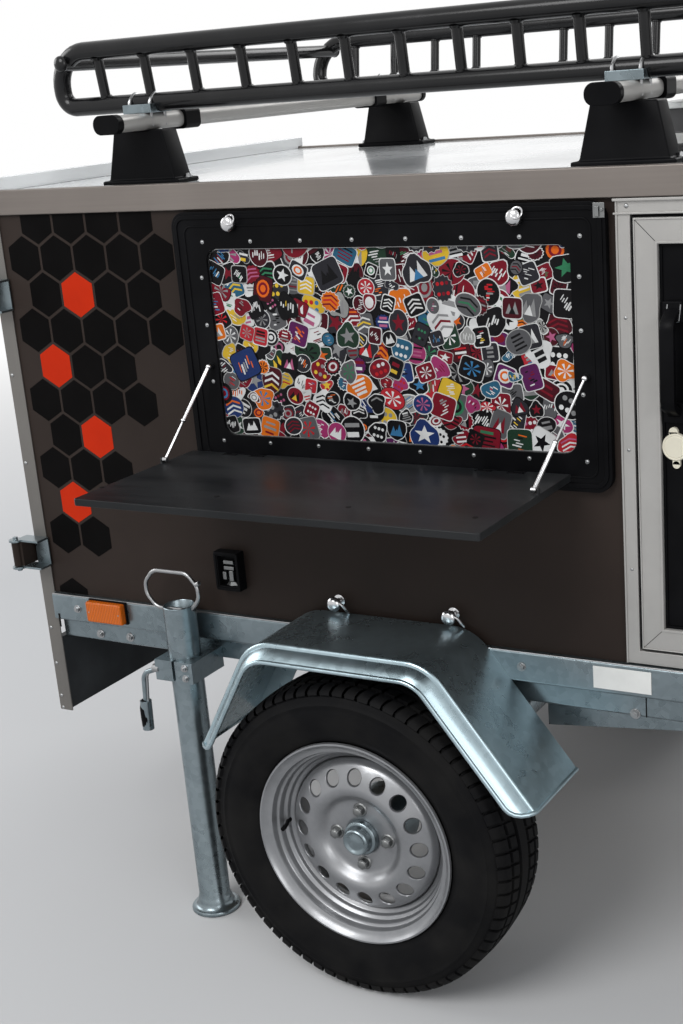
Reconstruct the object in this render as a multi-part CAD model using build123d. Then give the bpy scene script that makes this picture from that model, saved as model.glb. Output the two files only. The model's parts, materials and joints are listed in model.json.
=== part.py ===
# Small box-shaped camping trailer with a flat roof, rack, side door, side hatch with a
# fold-down table, rear doors, one torsion axle and a V-shaped drawbar.
# Working frame in millimetres: x = 0 at the axle (+x towards the coupling),
# y = 0 on the centre line (-y is the hatch side), z = 0 on the ground.
from build123d import *
from math import atan2, cos, degrees, hypot, pi, sin
import os

# Box body
BODY_REAR = -790
BODY_FRONT = 1230
HALF = 525                  # half the width over the side panels
FLOOR_UNDER = 601           # underside of the floor, on top of the chassis
PANEL_TOP = 1323            # where the roof edge profile begins
ROOF_TOP = 1367
WALL = 24                   # thickness of a sandwich panel
FLOOR_THICK = 18
ROOF_THICK = 30
EDGE_PROUD = 8              # the roof edge stands out past the panels
HEADER = (-805, -770, 1388)  # rear, front and top of the strip on the rear edge of the roof
POST_LEG = 28
POST_SHEET = 3
REAR_POST_FOOT = 347

# Chassis
RAIL_PROUD = 12
RAIL_SHEET = 3
RAIL_STEP = 549             # foot of the rail's upper band
RAIL_FOOT = 504
CROSS_X = (-740, -330, 330, 760, 1205)
BAR_TUBE = (40, 60)         # drawbar tube, width by height
BAR_TAIL = (250, 440)       # x, y where a drawbar tube begins under the floor
BAR_NOSE = (2085, 34)       # x, y where the two tubes meet the coupling
BAR_TOP = 500
COUPLING_FRONT = 2275
BALL_X = COUPLING_FRONT - 40
BALL_Z = 452
BALL_R = 25.25              # socket for a 50 mm ball

# Axle and wheels
AXLE_Z = 289
TRACK_HALF = 650
TYRE_R = 289
TYRE_W = 157
BEAM_X, BEAM_Z, BEAM_R = 150, 420, 32
ARM_IN, ARM_THICK = 538, 22
FLANGE_R = 182.5            # 365 mm over the flanges
RIM_HALF = 65
DISC_HOLES, DISC_HOLE_R, DISC_HOLE_PITCH_R = 16, 13.5, 114
BOLT_PCD_R, BOLT_COUNT = 50, 4

# Mudguards
GUARD_IN, GUARD_OUT = HALF + RAIL_PROUD, 736
GUARD_PATH = [(336, 404), (160, 632), (-178, 632), (-298, 424)]
GUARD_BEND = 80
GUARD_SHEET = 3
GUARD_TOP = 170             # width of the flat top, from the chassis to the shoulder
GUARD_HEM_R = 4
GUARD_HEM = (GUARD_OUT - GUARD_IN - GUARD_HEM_R, -23)   # rolled hem: outwards, and below the top

# Side door
DOOR_X0, DOOR_X1 = 427, 1110    # over the fixed surround
DOOR_Z0, DOOR_Z1 = 603, 1321
SURROUND = 22
LEAF_FRAME = 37
LEAF_GAP = 5
LEAF = (DOOR_X0 + SURROUND + LEAF_GAP, DOOR_X1 - SURROUND - LEAF_GAP,
        DOOR_Z0 + SURROUND + LEAF_GAP, DOOR_Z1 - SURROUND - LEAF_GAP)
DOOR_HINGE_Z, DOOR_HINGE_HALF = (740, 1160), 40
HANDLE_X, HANDLE_Z = 512, (996, 1175)
KEY_X, KEY_Z = 512, 958

# Rear doors
LEAF_SIDE = -HALF + POST_LEG + 4    # a leaf's hinge edge
HINGE_Z = (685, 1180)
HINGE_PIN = (BODY_REAR - 22, -HALF - 35)
HINGE_HALF = 29             # half the height over a hinge's two ears
HINGE_EAR = 4

# Side hatch and table
HATCH = (-365, 415, 882, 1320)      # x0, x1, z0, z1 of the black frame
STICKER = (-300, 358, 941, 1259)    # x0, x1, z0, z1 of the panel inside it
HATCH_PROUD = 14
HATCH_FACE = -HALF - HATCH_PROUD
CATCH_X, CATCH_Z = (-244, 273), 1300
TABLE = (-366, 352)
TABLE_OUTER = HATCH_FACE - 334
TABLE_INNER = HATCH_FACE - 12
TABLE_TOP = 913
TABLE_THICK = 12
KNUCKLE_R = 5
TABLE_HINGE_X = (-250, 236)
TABLE_AXIS = (HATCH_FACE - 21, TABLE_TOP - KNUCKLE_R)   # y, z of the table's hinge line
# Stays: x and y of the foot on the table, x of the top, radius below and above the joint,
# x range of the ear on the table
STAYS = {"stay_rear": (-357, -641, -313, 2.2, 3.5, (-366, -361.5)),
         "stay_front": (343, -670, 379, 3.5, 2.2, (348.5, 352))}
STAY_FOOT_Z = TABLE_TOP + 6.5
STAY_TOP = (HATCH_FACE - 9.5, 1062)     # y, z
STAY_JOINT = 0.42           # share of the stay's length below its joint
STAY_EYE_R = 4

# Roof rack
RACK_X = (-468, 420)
FOOT_Y = 447                # centre of a foot, from the centre line
FOOT_BASE = (165, 62, 4)    # flange of a foot
CROSSBAR = (50, 28)         # width by height
CROSSBAR_Z = 1453
CROSSBAR_END = 535          # where a bar's end cap begins
CAP = (56, 32, 15)          # end cap, width by height by length
BASKET_X = (-647, 598)      # centre lines of the hoops' ends
LOWER_RAIL = (433, 1498)    # y, z of the lower tube's centre line
TOP_RAIL = (446, 1590)
HOOP_BENDS = (24, 66)       # radius of a hoop's lower and upper bends
RAIL_R, UPRIGHT_R, SLAT_R, END_R = 15.5, 9, 9, 14
UPRIGHT_PITCH = 100
VENT = (352, 752, 200)      # roof vent: x0, x1, half its width

# Prop stands and jockey wheel
PROP_X, PROP_Y = -422, HALF + 48
PROP_R = 30
PROP_TOP = 626
PROP_FOOT_R = 47
PROP_CLAMP_Z = (488, 528)
LOOP_X = PROP_X - 12        # middle of the wire loop
LOOP = (59, 38)             # half its width, half its straight top
LOOP_Z = (616, 640, 664, 688)
JOCKEY_X, JOCKEY_Y = 1700, 205
JOCKEY_R = 24
JOCKEY_TOP = 760
JOCKEY_WHEEL_R, JOCKEY_WHEEL_W = 100, 55
JOCKEY_TRAIL = 45
BAR_INNER_AT_JOCKEY = 148

# Place of the exported origin: middle of the overall length and width, on the ground
REAR_MOST = BODY_REAR - 40
FRONT_MOST = COUPLING_FRONT
MIDDLE = ((REAR_MOST + FRONT_MOST) / 2, (TABLE_OUTER + GUARD_OUT) / 2)


def block(x0, x1, y0, y1, z0, z1):
    """A square-edged solid between two corners."""
    centre = ((x0 + x1) / 2, (y0 + y1) / 2, (z0 + z1) / 2)
    return Pos(*centre) * Box(abs(x1 - x0), abs(y1 - y0), abs(z1 - z0))


def rod(start, end, radius):
    """A round bar from one point to another."""
    along = Vector(*end) - Vector(*start)
    foot = (Align.CENTER, Align.CENTER, Align.MIN)
    return Plane(origin=start, z_dir=along) * Cylinder(radius, along.length, align=foot)


def tube(path, radius):
    """A round bar swept along a wire."""
    return sweep(Plane(origin=path @ 0, z_dir=path % 0) * Circle(radius), path=path)


def sheet(points, bend, thick, start, length, plane=Plane.XZ):
    """A sheet folded along a path in the plane, start to start + length along its normal."""
    fold = trace(FilletPolyline(*points, radius=bend), line_width=thick)
    return extrude(plane.offset(start) * fold, amount=length)


def other_side(piece):
    return mirror(piece, about=Plane.XZ)


def both_sides(piece):
    return Compound(children=[piece, other_side(piece)])


def chassis_rail():
    """Rolled side rail: a proud upper band, a step and a recessed lower band."""
    face = HALF + RAIL_PROUD - RAIL_SHEET / 2
    low = HALF - 12
    path = [(-HALF + 45, FLOOR_UNDER - 1.5), (-face, FLOOR_UNDER - 1.5), (-face, RAIL_STEP),
            (-low, RAIL_STEP), (-low, RAIL_FOOT + 1.5), (-HALF + 45, RAIL_FOOT + 1.5)]
    start = BODY_REAR + POST_LEG
    return sheet(path, 3, RAIL_SHEET, start, BODY_FRONT - start, Plane.YZ)


def cross_members():
    reach = HALF - 15
    bars = []
    for x in CROSS_X:
        low, high = RAIL_FOOT + RAIL_SHEET, FLOOR_UNDER - RAIL_SHEET
        bar = block(x - 15, x + 15, -reach, reach, low, high)
        bars.append(bar - block(x - 12, x + 12, -reach, reach, low + 3, high - 3))
    return Compound(children=bars)


def drawbar_leg():
    """One box tube of the V, from under the floor to the coupling."""
    (x0, y0), (x1, y1) = BAR_TAIL, BAR_NOSE
    width, height = BAR_TUBE
    length = hypot(x1 - x0, y1 - y0)
    leg = block(0, length, -width / 2, width / 2, BAR_TOP - height, BAR_TOP)
    leg -= block(0, length, 3 - width / 2, width / 2 - 3, BAR_TOP - height + 3, BAR_TOP - 3)
    return Pos(x0, -y0, 0) * Rot(0, 0, degrees(atan2(y0 - y1, x1 - x0))) * leg


def drawbar_plates():
    """Gusset under the nose and the two plates that carry the drawbar at the floor."""
    under = BAR_TOP - BAR_TUBE[1]
    nose = extrude(Plane.XY.offset(under - 6) * make_face(Polyline(
        (1900, -96), (2100, -56), (2100, 56), (1900, 96), close=True)), amount=6)
    pads = [block(x - 30, x + 30, -y - 40, -y + 40, BAR_TOP, RAIL_FOOT + RAIL_SHEET)
            for x, y in ((330, 422), (760, 327), (1205, 229))]
    return Compound(children=[nose, *pads, *[other_side(pad) for pad in pads]])


def coupling_head():
    """Pressed ball coupling on the nose of the drawbar, with its round socket underneath."""
    top = BALL_Z + 44
    shell = extrude(Plane.XY.offset(BALL_Z - 26) * make_face(Polyline(
        (BALL_X - 60, -30), (BALL_X + 5, -36), (BALL_X + 5, 36), (BALL_X - 60, 30),
        close=True)), amount=70)
    nose = Pos(BALL_X, 0, BALL_Z - 26) * Cylinder(
        40, 70, align=(Align.CENTER, Align.CENTER, Align.MIN))
    neck = block(2060, BALL_X - 115, -28, 28, BAR_TOP, BAR_TOP + 12)
    body = shell + nose
    body = fillet(body.edges().group_by(Axis.Z)[-1], 9)
    rise = extrude(Plane.XZ.offset(-28) * make_face(Polyline(
        (BALL_X - 120, BAR_TOP), (BALL_X - 20, BALL_Z - 10), (BALL_X - 20, top),
        (BALL_X - 120, BAR_TOP + 12), close=True)), amount=56)
    socket = Pos(BALL_X, 0, BALL_Z - 30) * Cylinder(
        BALL_R, 30, align=(Align.CENTER, Align.CENTER, Align.MIN))
    crown = Pos(BALL_X, 0, BALL_Z) * Sphere(BALL_R)
    return body + neck + rise - socket - crown


def coupling_lever():
    """Locking handle on top of the coupling."""
    grip = [(BALL_X + 30, BALL_Z + 49), (BALL_X - 22, BALL_Z + 49), (BALL_X - 70, BALL_Z + 88),
            (BALL_X - 150, BALL_Z + 94)]
    return sheet(grip, 18, 10, -17, 34)


def axle_beam():
    """Tube across the trailer, trailing arms, stub axles and the plates on the chassis."""
    beam = rod((BEAM_X, -ARM_IN, BEAM_Z), (BEAM_X, ARM_IN, BEAM_Z), BEAM_R)
    outline = make_hull([
        *(Pos(BEAM_X, BEAM_Z) * Circle(BEAM_R + 8)).edges(),
        *(Pos(0, AXLE_Z) * Circle(24)).edges()])
    arm = extrude(Plane.XZ.offset(ARM_IN) * outline, amount=ARM_THICK)
    stub = rod((0, -ARM_IN - ARM_THICK, AXLE_Z), (0, -TRACK_HALF + 22, AXLE_Z), 20)
    plate = block(BEAM_X - 55, BEAM_X + 55, -HALF + 15, -HALF + 65, BEAM_Z - 8, RAIL_FOOT)
    side = arm + stub + plate
    return beam + side + other_side(side)


def ring_about_axle(section):
    """Turn a section drawn as (outward from the wheel's middle, radius) about the axle."""
    plane = Plane(origin=(0, 0, 0), x_dir=(0, -1, 0), z_dir=(1, 0, 0))
    return Pos(0, -TRACK_HALF, AXLE_Z) * revolve(plane * section, axis=Axis.Y)


def tyre():
    bead, wide, wall = 57, TYRE_W / 2, 13
    seat, lip = 169, 184
    line = (
        Line((bead, seat), (bead, lip))
        + ThreePointArc((bead, lip), (wide - 6, 201), (wide, 226))
        + ThreePointArc((wide, 226), (wide - 4, 258), (60, 280))
        + ThreePointArc((60, 280), (0, TYRE_R), (-60, 280))
        + ThreePointArc((-60, 280), (4 - wide, 258), (-wide, 226))
        + ThreePointArc((-wide, 226), (6 - wide, 201), (-bead, lip))
        + Polyline((-bead, lip), (-bead, seat), (wall - bead, seat), (wall - bead, lip))
        + ThreePointArc((wall - bead, lip), (wall - wide, 226), (-49, 265))
        + ThreePointArc((-49, 265), (0, TYRE_R - wall), (49, 265))
        + ThreePointArc((49, 265), (wide - wall, 226), (bead - wall, lip))
        + Polyline((bead - wall, lip), (bead - wall, seat), (bead, seat)))
    return ring_about_axle(make_face(line))


def rim():
    """Steel wheel: rolled well and a pressed disc with a ring of round holes."""
    well = [(-RIM_HALF, FLANGE_R), (-60, 167), (-36, 165), (-24, 143), (22, 143),
            (34, 165), (60, 167), (RIM_HALF, FLANGE_R)]
    disc = [(32, 30), (32, 72), (45, 79), (50, 92), (44, 106), (38, 126), (28, 138.5), (8, 139.5)]
    wheel = (ring_about_axle(trace(FilletPolyline(*well, radius=4), line_width=3.5))
             + ring_about_axle(trace(FilletPolyline(*disc, radius=4), line_width=4)))
    holes = [(DISC_HOLES, DISC_HOLE_PITCH_R, DISC_HOLE_R), (BOLT_COUNT, BOLT_PCD_R, 7)]
    for count, pitch, radius in holes:
        for step in range(count):
            turn = 2 * pi * step / count
            x, z = pitch * cos(turn), AXLE_Z + pitch * sin(turn)
            wheel -= rod((x, -TRACK_HALF - 70, z), (x, -TRACK_HALF - 15, z), radius)
    return wheel


def hub():
    """Hub, dust cap and wheel bolts."""
    section = make_face(Polyline((-62, 20.2), (-62, 60), (10, 60), (10, 68), (30, 68), (30, 26),
                                 (52, 26), (61, 18), (64, 8), (64, 0), (24, 0), (24, 20.2),
                                 close=True))
    piece = ring_about_axle(section)
    for step in range(BOLT_COUNT):
        turn = 2 * pi * step / BOLT_COUNT
        x, z = BOLT_PCD_R * cos(turn), AXLE_Z + BOLT_PCD_R * sin(turn)
        piece += rod((x, -TRACK_HALF - 28, z), (x, -TRACK_HALF - 36, z), 6)
        head = Plane(origin=(x, -TRACK_HALF - 34, z), z_dir=(0, -1, 0)) * RegularPolygon(10, 6)
        piece += extrude(head, amount=13)
    return piece


def guard_end(frame):
    """Rolled edge across one end of a guard, in that end's own plane."""
    inner, shoulder, hem = [frame.from_local_coords(Vector(*spot, 0))
                            for spot in ((0, 0), (GUARD_TOP, 0), GUARD_HEM)]
    edge = rod(inner, shoulder, GUARD_HEM_R) + rod(shoulder, hem, GUARD_HEM_R)
    return edge + Pos(*shoulder) * Sphere(GUARD_HEM_R) + Pos(*hem) * Sphere(GUARD_HEM_R)


def mudguard():
    """Pressed guard: flat top, sloping skirt with a rolled hem, flange on the chassis."""
    path = FilletPolyline(*[(x, -GUARD_IN, z) for x, z in GUARD_PATH], radius=GUARD_BEND)
    ends = [Plane(origin=path @ share, x_dir=(0, -1, 0), z_dir=path % share) for share in (0, 1)]
    half, (reach, drop) = GUARD_SHEET / 2, GUARD_HEM
    section = make_face(Polyline((0, half), (GUARD_TOP, half), (reach + 3, drop + 1), (reach, drop),
                                 (GUARD_TOP - 1, -half), (0, -half), close=True))
    section += Pos(reach, drop) * Circle(GUARD_HEM_R)
    guard = sweep(ends[0] * section, path=path)
    outline = FilletPolyline(*GUARD_PATH, radius=GUARD_BEND)
    under = make_face(outline + Line(GUARD_PATH[-1], GUARD_PATH[0]))
    flange = trace(outline, line_width=80) & under
    guard += extrude(Plane.XZ.offset(GUARD_IN) * flange, amount=GUARD_SHEET)
    return guard + guard_end(ends[0]) + guard_end(ends[1])


def corner_post(x, foot, top, inward):
    """Angle profile round a vertical edge of the box; inward is +1 at the rear."""
    side = block(x, x + inward * POST_LEG, -HALF, -HALF - POST_SHEET, foot, top)
    end = block(x, x - inward * POST_SHEET, -HALF - POST_SHEET, -HALF + POST_LEG, foot, top)
    return side + end


def roof_edge():
    """Profile round the edge of the roof, open at the rear."""
    out = HALF + EDGE_PROUD
    ring = block(BODY_REAR, BODY_FRONT + EDGE_PROUD, -out, out, PANEL_TOP, ROOF_TOP)
    inside = block(BODY_REAR, BODY_FRONT - 20, 20 - out, out - 20, PANEL_TOP, ROOF_TOP)
    return ring - inside


def roof_panel():
    out = HALF + EDGE_PROUD - 20
    return block(BODY_REAR, BODY_FRONT - 20, -out, out, ROOF_TOP - ROOF_THICK, ROOF_TOP - 4)


def rear_header():
    """White strip along the rear edge of the roof, down to the doors' head."""
    out = HALF + EDGE_PROUD
    rear, front, top = HEADER
    strip = block(rear, BODY_REAR, -out, out, PANEL_TOP, top)
    strip += block(BODY_REAR, front, -out, out, ROOF_TOP, top)
    return strip + block(BODY_REAR, front, 20 - out, out - 20, ROOF_TOP - 4, ROOF_TOP)


def roof_vent():
    """Low closed vent: seal, pale frame, sloping sides and a flat lid."""
    x0, x1, half = VENT
    middle = (x0 + x1) / 2
    steps = [(0, 9, 12), (-6, 12, 16), (-22, 14, 38), (-10, 10, 10)]   # inset, corner, height
    z = ROOF_TOP - 4
    vent = []
    for inset, corner, height in steps:
        size = (x1 - x0 + 2 * inset, 2 * half + 2 * inset)
        slab = Plane.XY.offset(z) * Pos(middle, 0) * RectangleRounded(*size, corner)
        vent.append(extrude(slab, amount=height))
        z += height
    return vent[0] + vent[1] + vent[2] + vent[3]


def side_panel(openings):
    panel = block(BODY_REAR, BODY_FRONT, -HALF, -HALF + WALL, FLOOR_UNDER, PANEL_TOP)
    for x0, x1, z0, z1 in openings:
        panel -= block(x0, x1, -HALF - 1, -HALF + WALL + 1, z0, z1)
    return panel


def frame_bars(x0, x1, z0, z1, width, y0, y1, corner=0):
    """A flat frame with rounded or square outer corners."""
    size = (x1 - x0, z1 - z0)
    centre = Pos((x0 + x1) / 2, (z0 + z1) / 2)
    outer = Rectangle(*size) if corner == 0 else RectangleRounded(*size, corner)
    inner = Rectangle(size[0] - 2 * width, size[1] - 2 * width)
    return extrude(Plane.XZ.offset(-y0) * (centre * (outer - inner)), amount=y0 - y1)


def door_surround():
    """Fixed frame of the side door, through the wall and just proud of it."""
    return frame_bars(DOOR_X0, DOOR_X1, DOOR_Z0, DOOR_Z1, SURROUND, -HALF + WALL, -HALF - 4)


def door_leaf():
    """Aluminium frame of the side door with the leaves of its two hinges."""
    leaf = frame_bars(*LEAF, LEAF_FRAME, -HALF + WALL, -HALF - 6)
    x, y = DOOR_X1 - SURROUND, -HALF - 14
    for z in DOOR_HINGE_Z:
        low, high = z - DOOR_HINGE_HALF, z + DOOR_HINGE_HALF
        leaf += rod((x, y, low), (x, y, high), 6)
        leaf += block(x - 40, x, -HALF - 12, -HALF - 6, low, high)
    return leaf


def door_panel():
    x0, x1, z0, z1 = LEAF
    w = LEAF_FRAME
    return block(x0 + w, x1 - w, -HALF + WALL, -HALF + 3, z0 + w, z1 - w)


def door_handle():
    """Bow handle on the door's free edge."""
    z0, z1 = HANDLE_Z
    face = -HALF + 3
    bow = Polyline((face, z0 + 12), (face - 34, z0 + 26), (face - 34, z1 - 26), (face, z1 - 12))
    grip = FilletPolyline(*[(p.X, p.Y) for p in bow.vertices()], radius=12)
    bar = extrude(Plane.YZ.offset(HANDLE_X - 11) * trace(grip, line_width=12), amount=22)
    bar &= block(HANDLE_X - 30, HANDLE_X + 30, face - 60, face, z0, z1)
    for low in (z0, z1 - 30):
        pad = block(HANDLE_X - 15, HANDLE_X + 15, face, face - 10, low, low + 30)
        bar += fillet(pad.edges().filter_by(Axis.Y), 7)
    return bar


def key_cover():
    """Round swinging cover of the lock, with a tab above and below."""
    face = -HALF + 3
    cover = rod((KEY_X, face, KEY_Z), (KEY_X, face - 8, KEY_Z), 21)
    for x, z, half in ((KEY_X - 3, KEY_Z + 23, 7), (KEY_X + 1, KEY_Z - 27, 6)):
        cover += block(x - half, x + half, face, face - 6, min(z, KEY_Z), max(z, KEY_Z))
        cover += rod((x, face, z), (x, face - 6, z), half)
    return cover


def rear_door():
    """One leaf of the rear opening with the arms and knuckles of its hinges."""
    x, y = HINGE_PIN
    leaf = block(BODY_REAR - 2, BODY_REAR + WALL, LEAF_SIDE, -6,
                 FLOOR_UNDER + FLOOR_THICK + 5, PANEL_TOP - 6)
    for z in HINGE_Z:
        low, high = z - HINGE_HALF + HINGE_EAR + 1, z + HINGE_HALF - HINGE_EAR - 1
        leaf += block(x + 6, x + 14, y, LEAF_SIDE + 70, low, high)
        leaf += block(x + 14, BODY_REAR - 2, LEAF_SIDE + 8, LEAF_SIDE + 70, low, high)
        leaf += rod((x, y, low), (x, y, high), 9) - rod((x, y, low), (x, y, high), 5.3)
    return leaf


def hinge_blocks():
    """Brackets on the rear posts: two ears round each pin and a plate on the post's side."""
    x, y = HINGE_PIN
    wrap, side = BODY_REAR + 33, -HALF - POST_SHEET
    brackets = []
    for z in HINGE_Z:
        low, high = z - HINGE_HALF, z + HINGE_HALF
        bracket = block(BODY_REAR, wrap, side, side - 3, low, high)
        for foot in (low, high - HINGE_EAR):
            bracket += block(x, wrap, side, y, foot, foot + HINGE_EAR)
            bracket += rod((x, y, foot), (x, y, foot + HINGE_EAR), 13)
        brackets.append(bracket + rod((x, y, low - 5), (x, y, high + 5), 5))
    return Compound(children=brackets + [other_side(item) for item in brackets])


def rear_lock():
    """Lock rod on the right-hand leaf with its swing handle."""
    x = BODY_REAR - 16
    bar = rod((x, -40, FLOOR_UNDER + 30), (x, -40, PANEL_TOP - 16), 8)
    for z in (680, 960, 1240):
        bar += block(x - 10, BODY_REAR - 2, -58, -22, z - 15, z + 15)
    return bar + block(x - 14, x - 4, -190, -30, 900, 922)


def hatch_frame():
    """Black frame with the fixed knuckles of the table and the rests of the stays' tops."""
    x0, x1, z0, z1 = HATCH
    centre = Pos((x0 + x1) / 2, (z0 + z1) / 2)
    outer = centre * RectangleRounded(x1 - x0, z1 - z0, 26)
    a0, a1, b0, b1 = STICKER
    inner = Pos((a0 + a1) / 2, (b0 + b1) / 2) * RectangleRounded(a1 - a0, b1 - b0, 22)
    frame = extrude(Plane.XZ.offset(HALF) * (outer - inner), amount=HATCH_PROUD)
    y, z = TABLE_AXIS
    for x in TABLE_HINGE_X:
        for start, end in ((x - 40, x - 15), (x + 15, x + 40)):
            frame += rod((start, y, z), (end, y, z), KNUCKLE_R)
            frame += block(start, end, HATCH_FACE, y, z - KNUCKLE_R, z)
    for stay_line in STAYS.values():
        x = stay_line[2]
        frame += rod((x, HATCH_FACE, STAY_TOP[1]), (x, HATCH_FACE - 3.5, STAY_TOP[1]), 6)
    return frame


def hatch_panel():
    x0, x1, z0, z1 = STICKER
    skin = Pos((x0 + x1) / 2, (z0 + z1) / 2) * RectangleRounded(x1 - x0, z1 - z0, 22)
    return extrude(Plane.XZ.offset(HALF - WALL) * skin, amount=WALL + 6)


def hatch_catches():
    """Two round studs with a slotted turn, at the top of the hatch frame."""
    face, z = HATCH_FACE, CATCH_Z
    studs = [rod((x, face, z), (x, face - 14, z), 13)
             + block(x - 3, x + 3, face - 14, face - 22, z - 11, z + 11) for x in CATCH_X]
    return Compound(children=studs)


def table_leaf():
    """Fold-down table with its two hinge knuckles and the ears that carry the stays."""
    x0, x1 = TABLE
    y, z = TABLE_AXIS
    low, high = TABLE_TOP - TABLE_THICK, TABLE_TOP
    leaf = block(x0, x1, TABLE_INNER, TABLE_OUTER, low, high)
    leaf = fillet(leaf.edges().filter_by(Axis.Z).group_by(Axis.Y)[0], 5)
    neck = y - KNUCKLE_R - 2
    for x in TABLE_HINGE_X:
        leaf -= block(x - 42, x + 42, TABLE_INNER + 1, neck, low - 1, high + 1)
        leaf += rod((x - 14, y, z), (x + 14, y, z), KNUCKLE_R)
        leaf += block(x - 14, x + 14, y, neck, z - KNUCKLE_R, high)
    for foot_x, foot_y, top_x, low_r, high_r, (ear0, ear1) in STAYS.values():
        r = STAY_EYE_R
        leaf += block(ear0, ear1, foot_y - r, foot_y + r, high, STAY_FOOT_Z)
        leaf += rod((ear0, foot_y, STAY_FOOT_Z), (ear1, foot_y, STAY_FOOT_Z), r)
    return leaf


def stay(name):
    """Two-part rod from an eye on the table up to its ball end on the hatch frame."""
    foot_x, foot_y, top_x, low_r, high_r, ear = STAYS[name]
    foot = Vector(foot_x, foot_y, STAY_FOOT_Z)
    top = Vector(top_x, *STAY_TOP)
    joint = foot + (top - foot) * STAY_JOINT
    eye = rod((foot_x - 4, foot_y, STAY_FOOT_Z), (foot_x + 4, foot_y, STAY_FOOT_Z), STAY_EYE_R)
    piece = eye + rod(foot, joint, low_r) + rod(joint, top, high_r)
    return piece + Pos(*joint) * Sphere(4.4) + Pos(*top) * Sphere(4.8)


def tie_hooks():
    """Round-headed pegs low on the side, under the hatch."""
    pegs = [rod((x, -HALF, 651), (x, -HALF - 26, 651), 6)
            + rod((x, -HALF - 18, 651), (x, -HALF - 30, 651), 13) for x in (-104, 120)]
    return Compound(children=pegs)


def socket_box():
    """Small outlet box with an open mouth, below the hatch's rear corner."""
    box = block(-352, -300, -HALF, -HALF - 20, 653, 725)
    return box - block(-345, -307, -HALF - 6, -HALF - 21, 661, 717)


def side_marker():
    x0, x1, z0, z1 = -665, -578, 558, 600
    face = -HALF - RAIL_PROUD
    lamp = block(x0, x1, face, face - 18, z0, z1)
    return fillet(lamp.edges().filter_by(Axis.Y), 8)


def blank_plate():
    return block(372, 470, -HALF - RAIL_PROUD, -HALF - RAIL_PROUD - 2, 556, 594)


def lamp_board():
    """Board hung across the rear, under the doors."""
    return block(BODY_REAR, BODY_REAR + 17, -HALF + 1, HALF - 1, REAR_POST_FOOT, RAIL_FOOT - 4)


def rear_lamps():
    lamp = block(BODY_REAR, REAR_MOST, -HALF + 32, -HALF + 212, 375, 470)
    lamp = fillet(lamp.edges().filter_by(Axis.X), 10)
    return both_sides(lamp)


def rack_feet():
    """Four tapered feet with a flange, bolted to the roof edge."""
    length, width, thick = FOOT_BASE
    feet = []
    for x in RACK_X:
        for y in (-FOOT_Y, FOOT_Y):
            flange = block(x - length / 2, x + length / 2, y - width / 2, y + width / 2,
                           ROOF_TOP, ROOF_TOP + thick)
            pad = block(x - length / 2, x + length / 2, y - width / 2, y + width / 2,
                        ROOF_TOP - 4, ROOF_TOP)
            low = Plane.XY.offset(ROOF_TOP + thick) * (Pos(x, y) * Rectangle(142, 50))
            high = Plane.XY.offset(CROSSBAR_Z) * (Pos(x, y) * Rectangle(104, 44))
            feet.append(flange + pad + loft([low.face(), high.face()]))
    return Compound(children=feet)


def bar_section(x, width, height, corner):
    """Rounded section of a crossbar or its fittings, about the bar's own middle height."""
    middle = CROSSBAR_Z + CROSSBAR[1] / 2
    return Pos(x, middle) * RectangleRounded(width, height, corner)


def crossbars():
    """Two slotted bars across the roof."""
    width, height = CROSSBAR
    top = CROSSBAR_Z + height
    bars = []
    for x in RACK_X:
        bar = extrude(Plane.XZ.offset(-CROSSBAR_END) * bar_section(x, width, height, 12),
                      amount=2 * CROSSBAR_END)
        bar -= block(x - 4, x + 4, -CROSSBAR_END, CROSSBAR_END, top - 8, top)
        bars.append(bar)
    return Compound(children=bars)


def crossbar_caps():
    """Oval caps on the bars' ends and the collars inside the feet."""
    wide, high, long = CAP
    pieces = []
    for x in RACK_X:
        cap = extrude(Plane.XZ.offset(CROSSBAR_END) * bar_section(x, wide, high, 15),
                      amount=long)
        ring = bar_section(x, wide + 4, high + 4, 10) - bar_section(x, *CROSSBAR, 12)
        collar = extrude(Plane.XZ.offset(320) * ring, amount=44)
        pieces += [cap, collar, other_side(cap), other_side(collar)]
    return Compound(children=pieces)


def basket_side():
    """One side: a hoop of tube with rounded ends and a row of uprights, leaning outwards."""
    (low_y, low_z), (top_y, top_z) = LOWER_RAIL, TOP_RAIL
    x0, x1 = BASKET_X
    corners = [(x0, -low_y, low_z), (x1, -low_y, low_z), (x1, -top_y, top_z), (x0, -top_y, top_z)]
    low_bend, top_bend = HOOP_BENDS
    side = tube(FilletPolyline(*corners, radius=[low_bend, low_bend, top_bend, top_bend],
                               close=True), RAIL_R)
    x = x0 + 93
    while x < x1 - top_bend:
        side += rod((x, -low_y, low_z), (x, -top_y, top_z), UPRIGHT_R)
        x += UPRIGHT_PITCH
    return side


def basket():
    """Two hoops, floor slats between their lower tubes and an end rail at each end."""
    side = basket_side()
    x0, x1 = BASKET_X
    low_y, low_z = LOWER_RAIL
    top_y, top_z = TOP_RAIL
    rack = side + other_side(side)
    slats = 6
    for step in range(slats + 1):
        x = x0 + 45 + (x1 - x0 - 90) * step / slats
        rack += rod((x, -low_y, low_z), (x, low_y, low_z), SLAT_R)
    for x in (x0 + 26, x1 - 26):
        rack += rod((x, -top_y - 26, top_z - 18), (x, top_y + 26, top_z - 18), END_R)
    return rack


def basket_clamps():
    """Plates that hold the basket's lower tubes on the crossbars."""
    low_y, low_z = LOWER_RAIL
    pads = []
    for x in RACK_X:
        for y in (-low_y, low_y):
            pad = block(x - 30, x + 30, y - 30, y + 30, CROSSBAR_Z + CROSSBAR[1], low_z - 2)
            pad -= rod((x - 31, y, low_z), (x + 31, y, low_z), RAIL_R)
            pads.append(pad)
    return Compound(children=pads)


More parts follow.
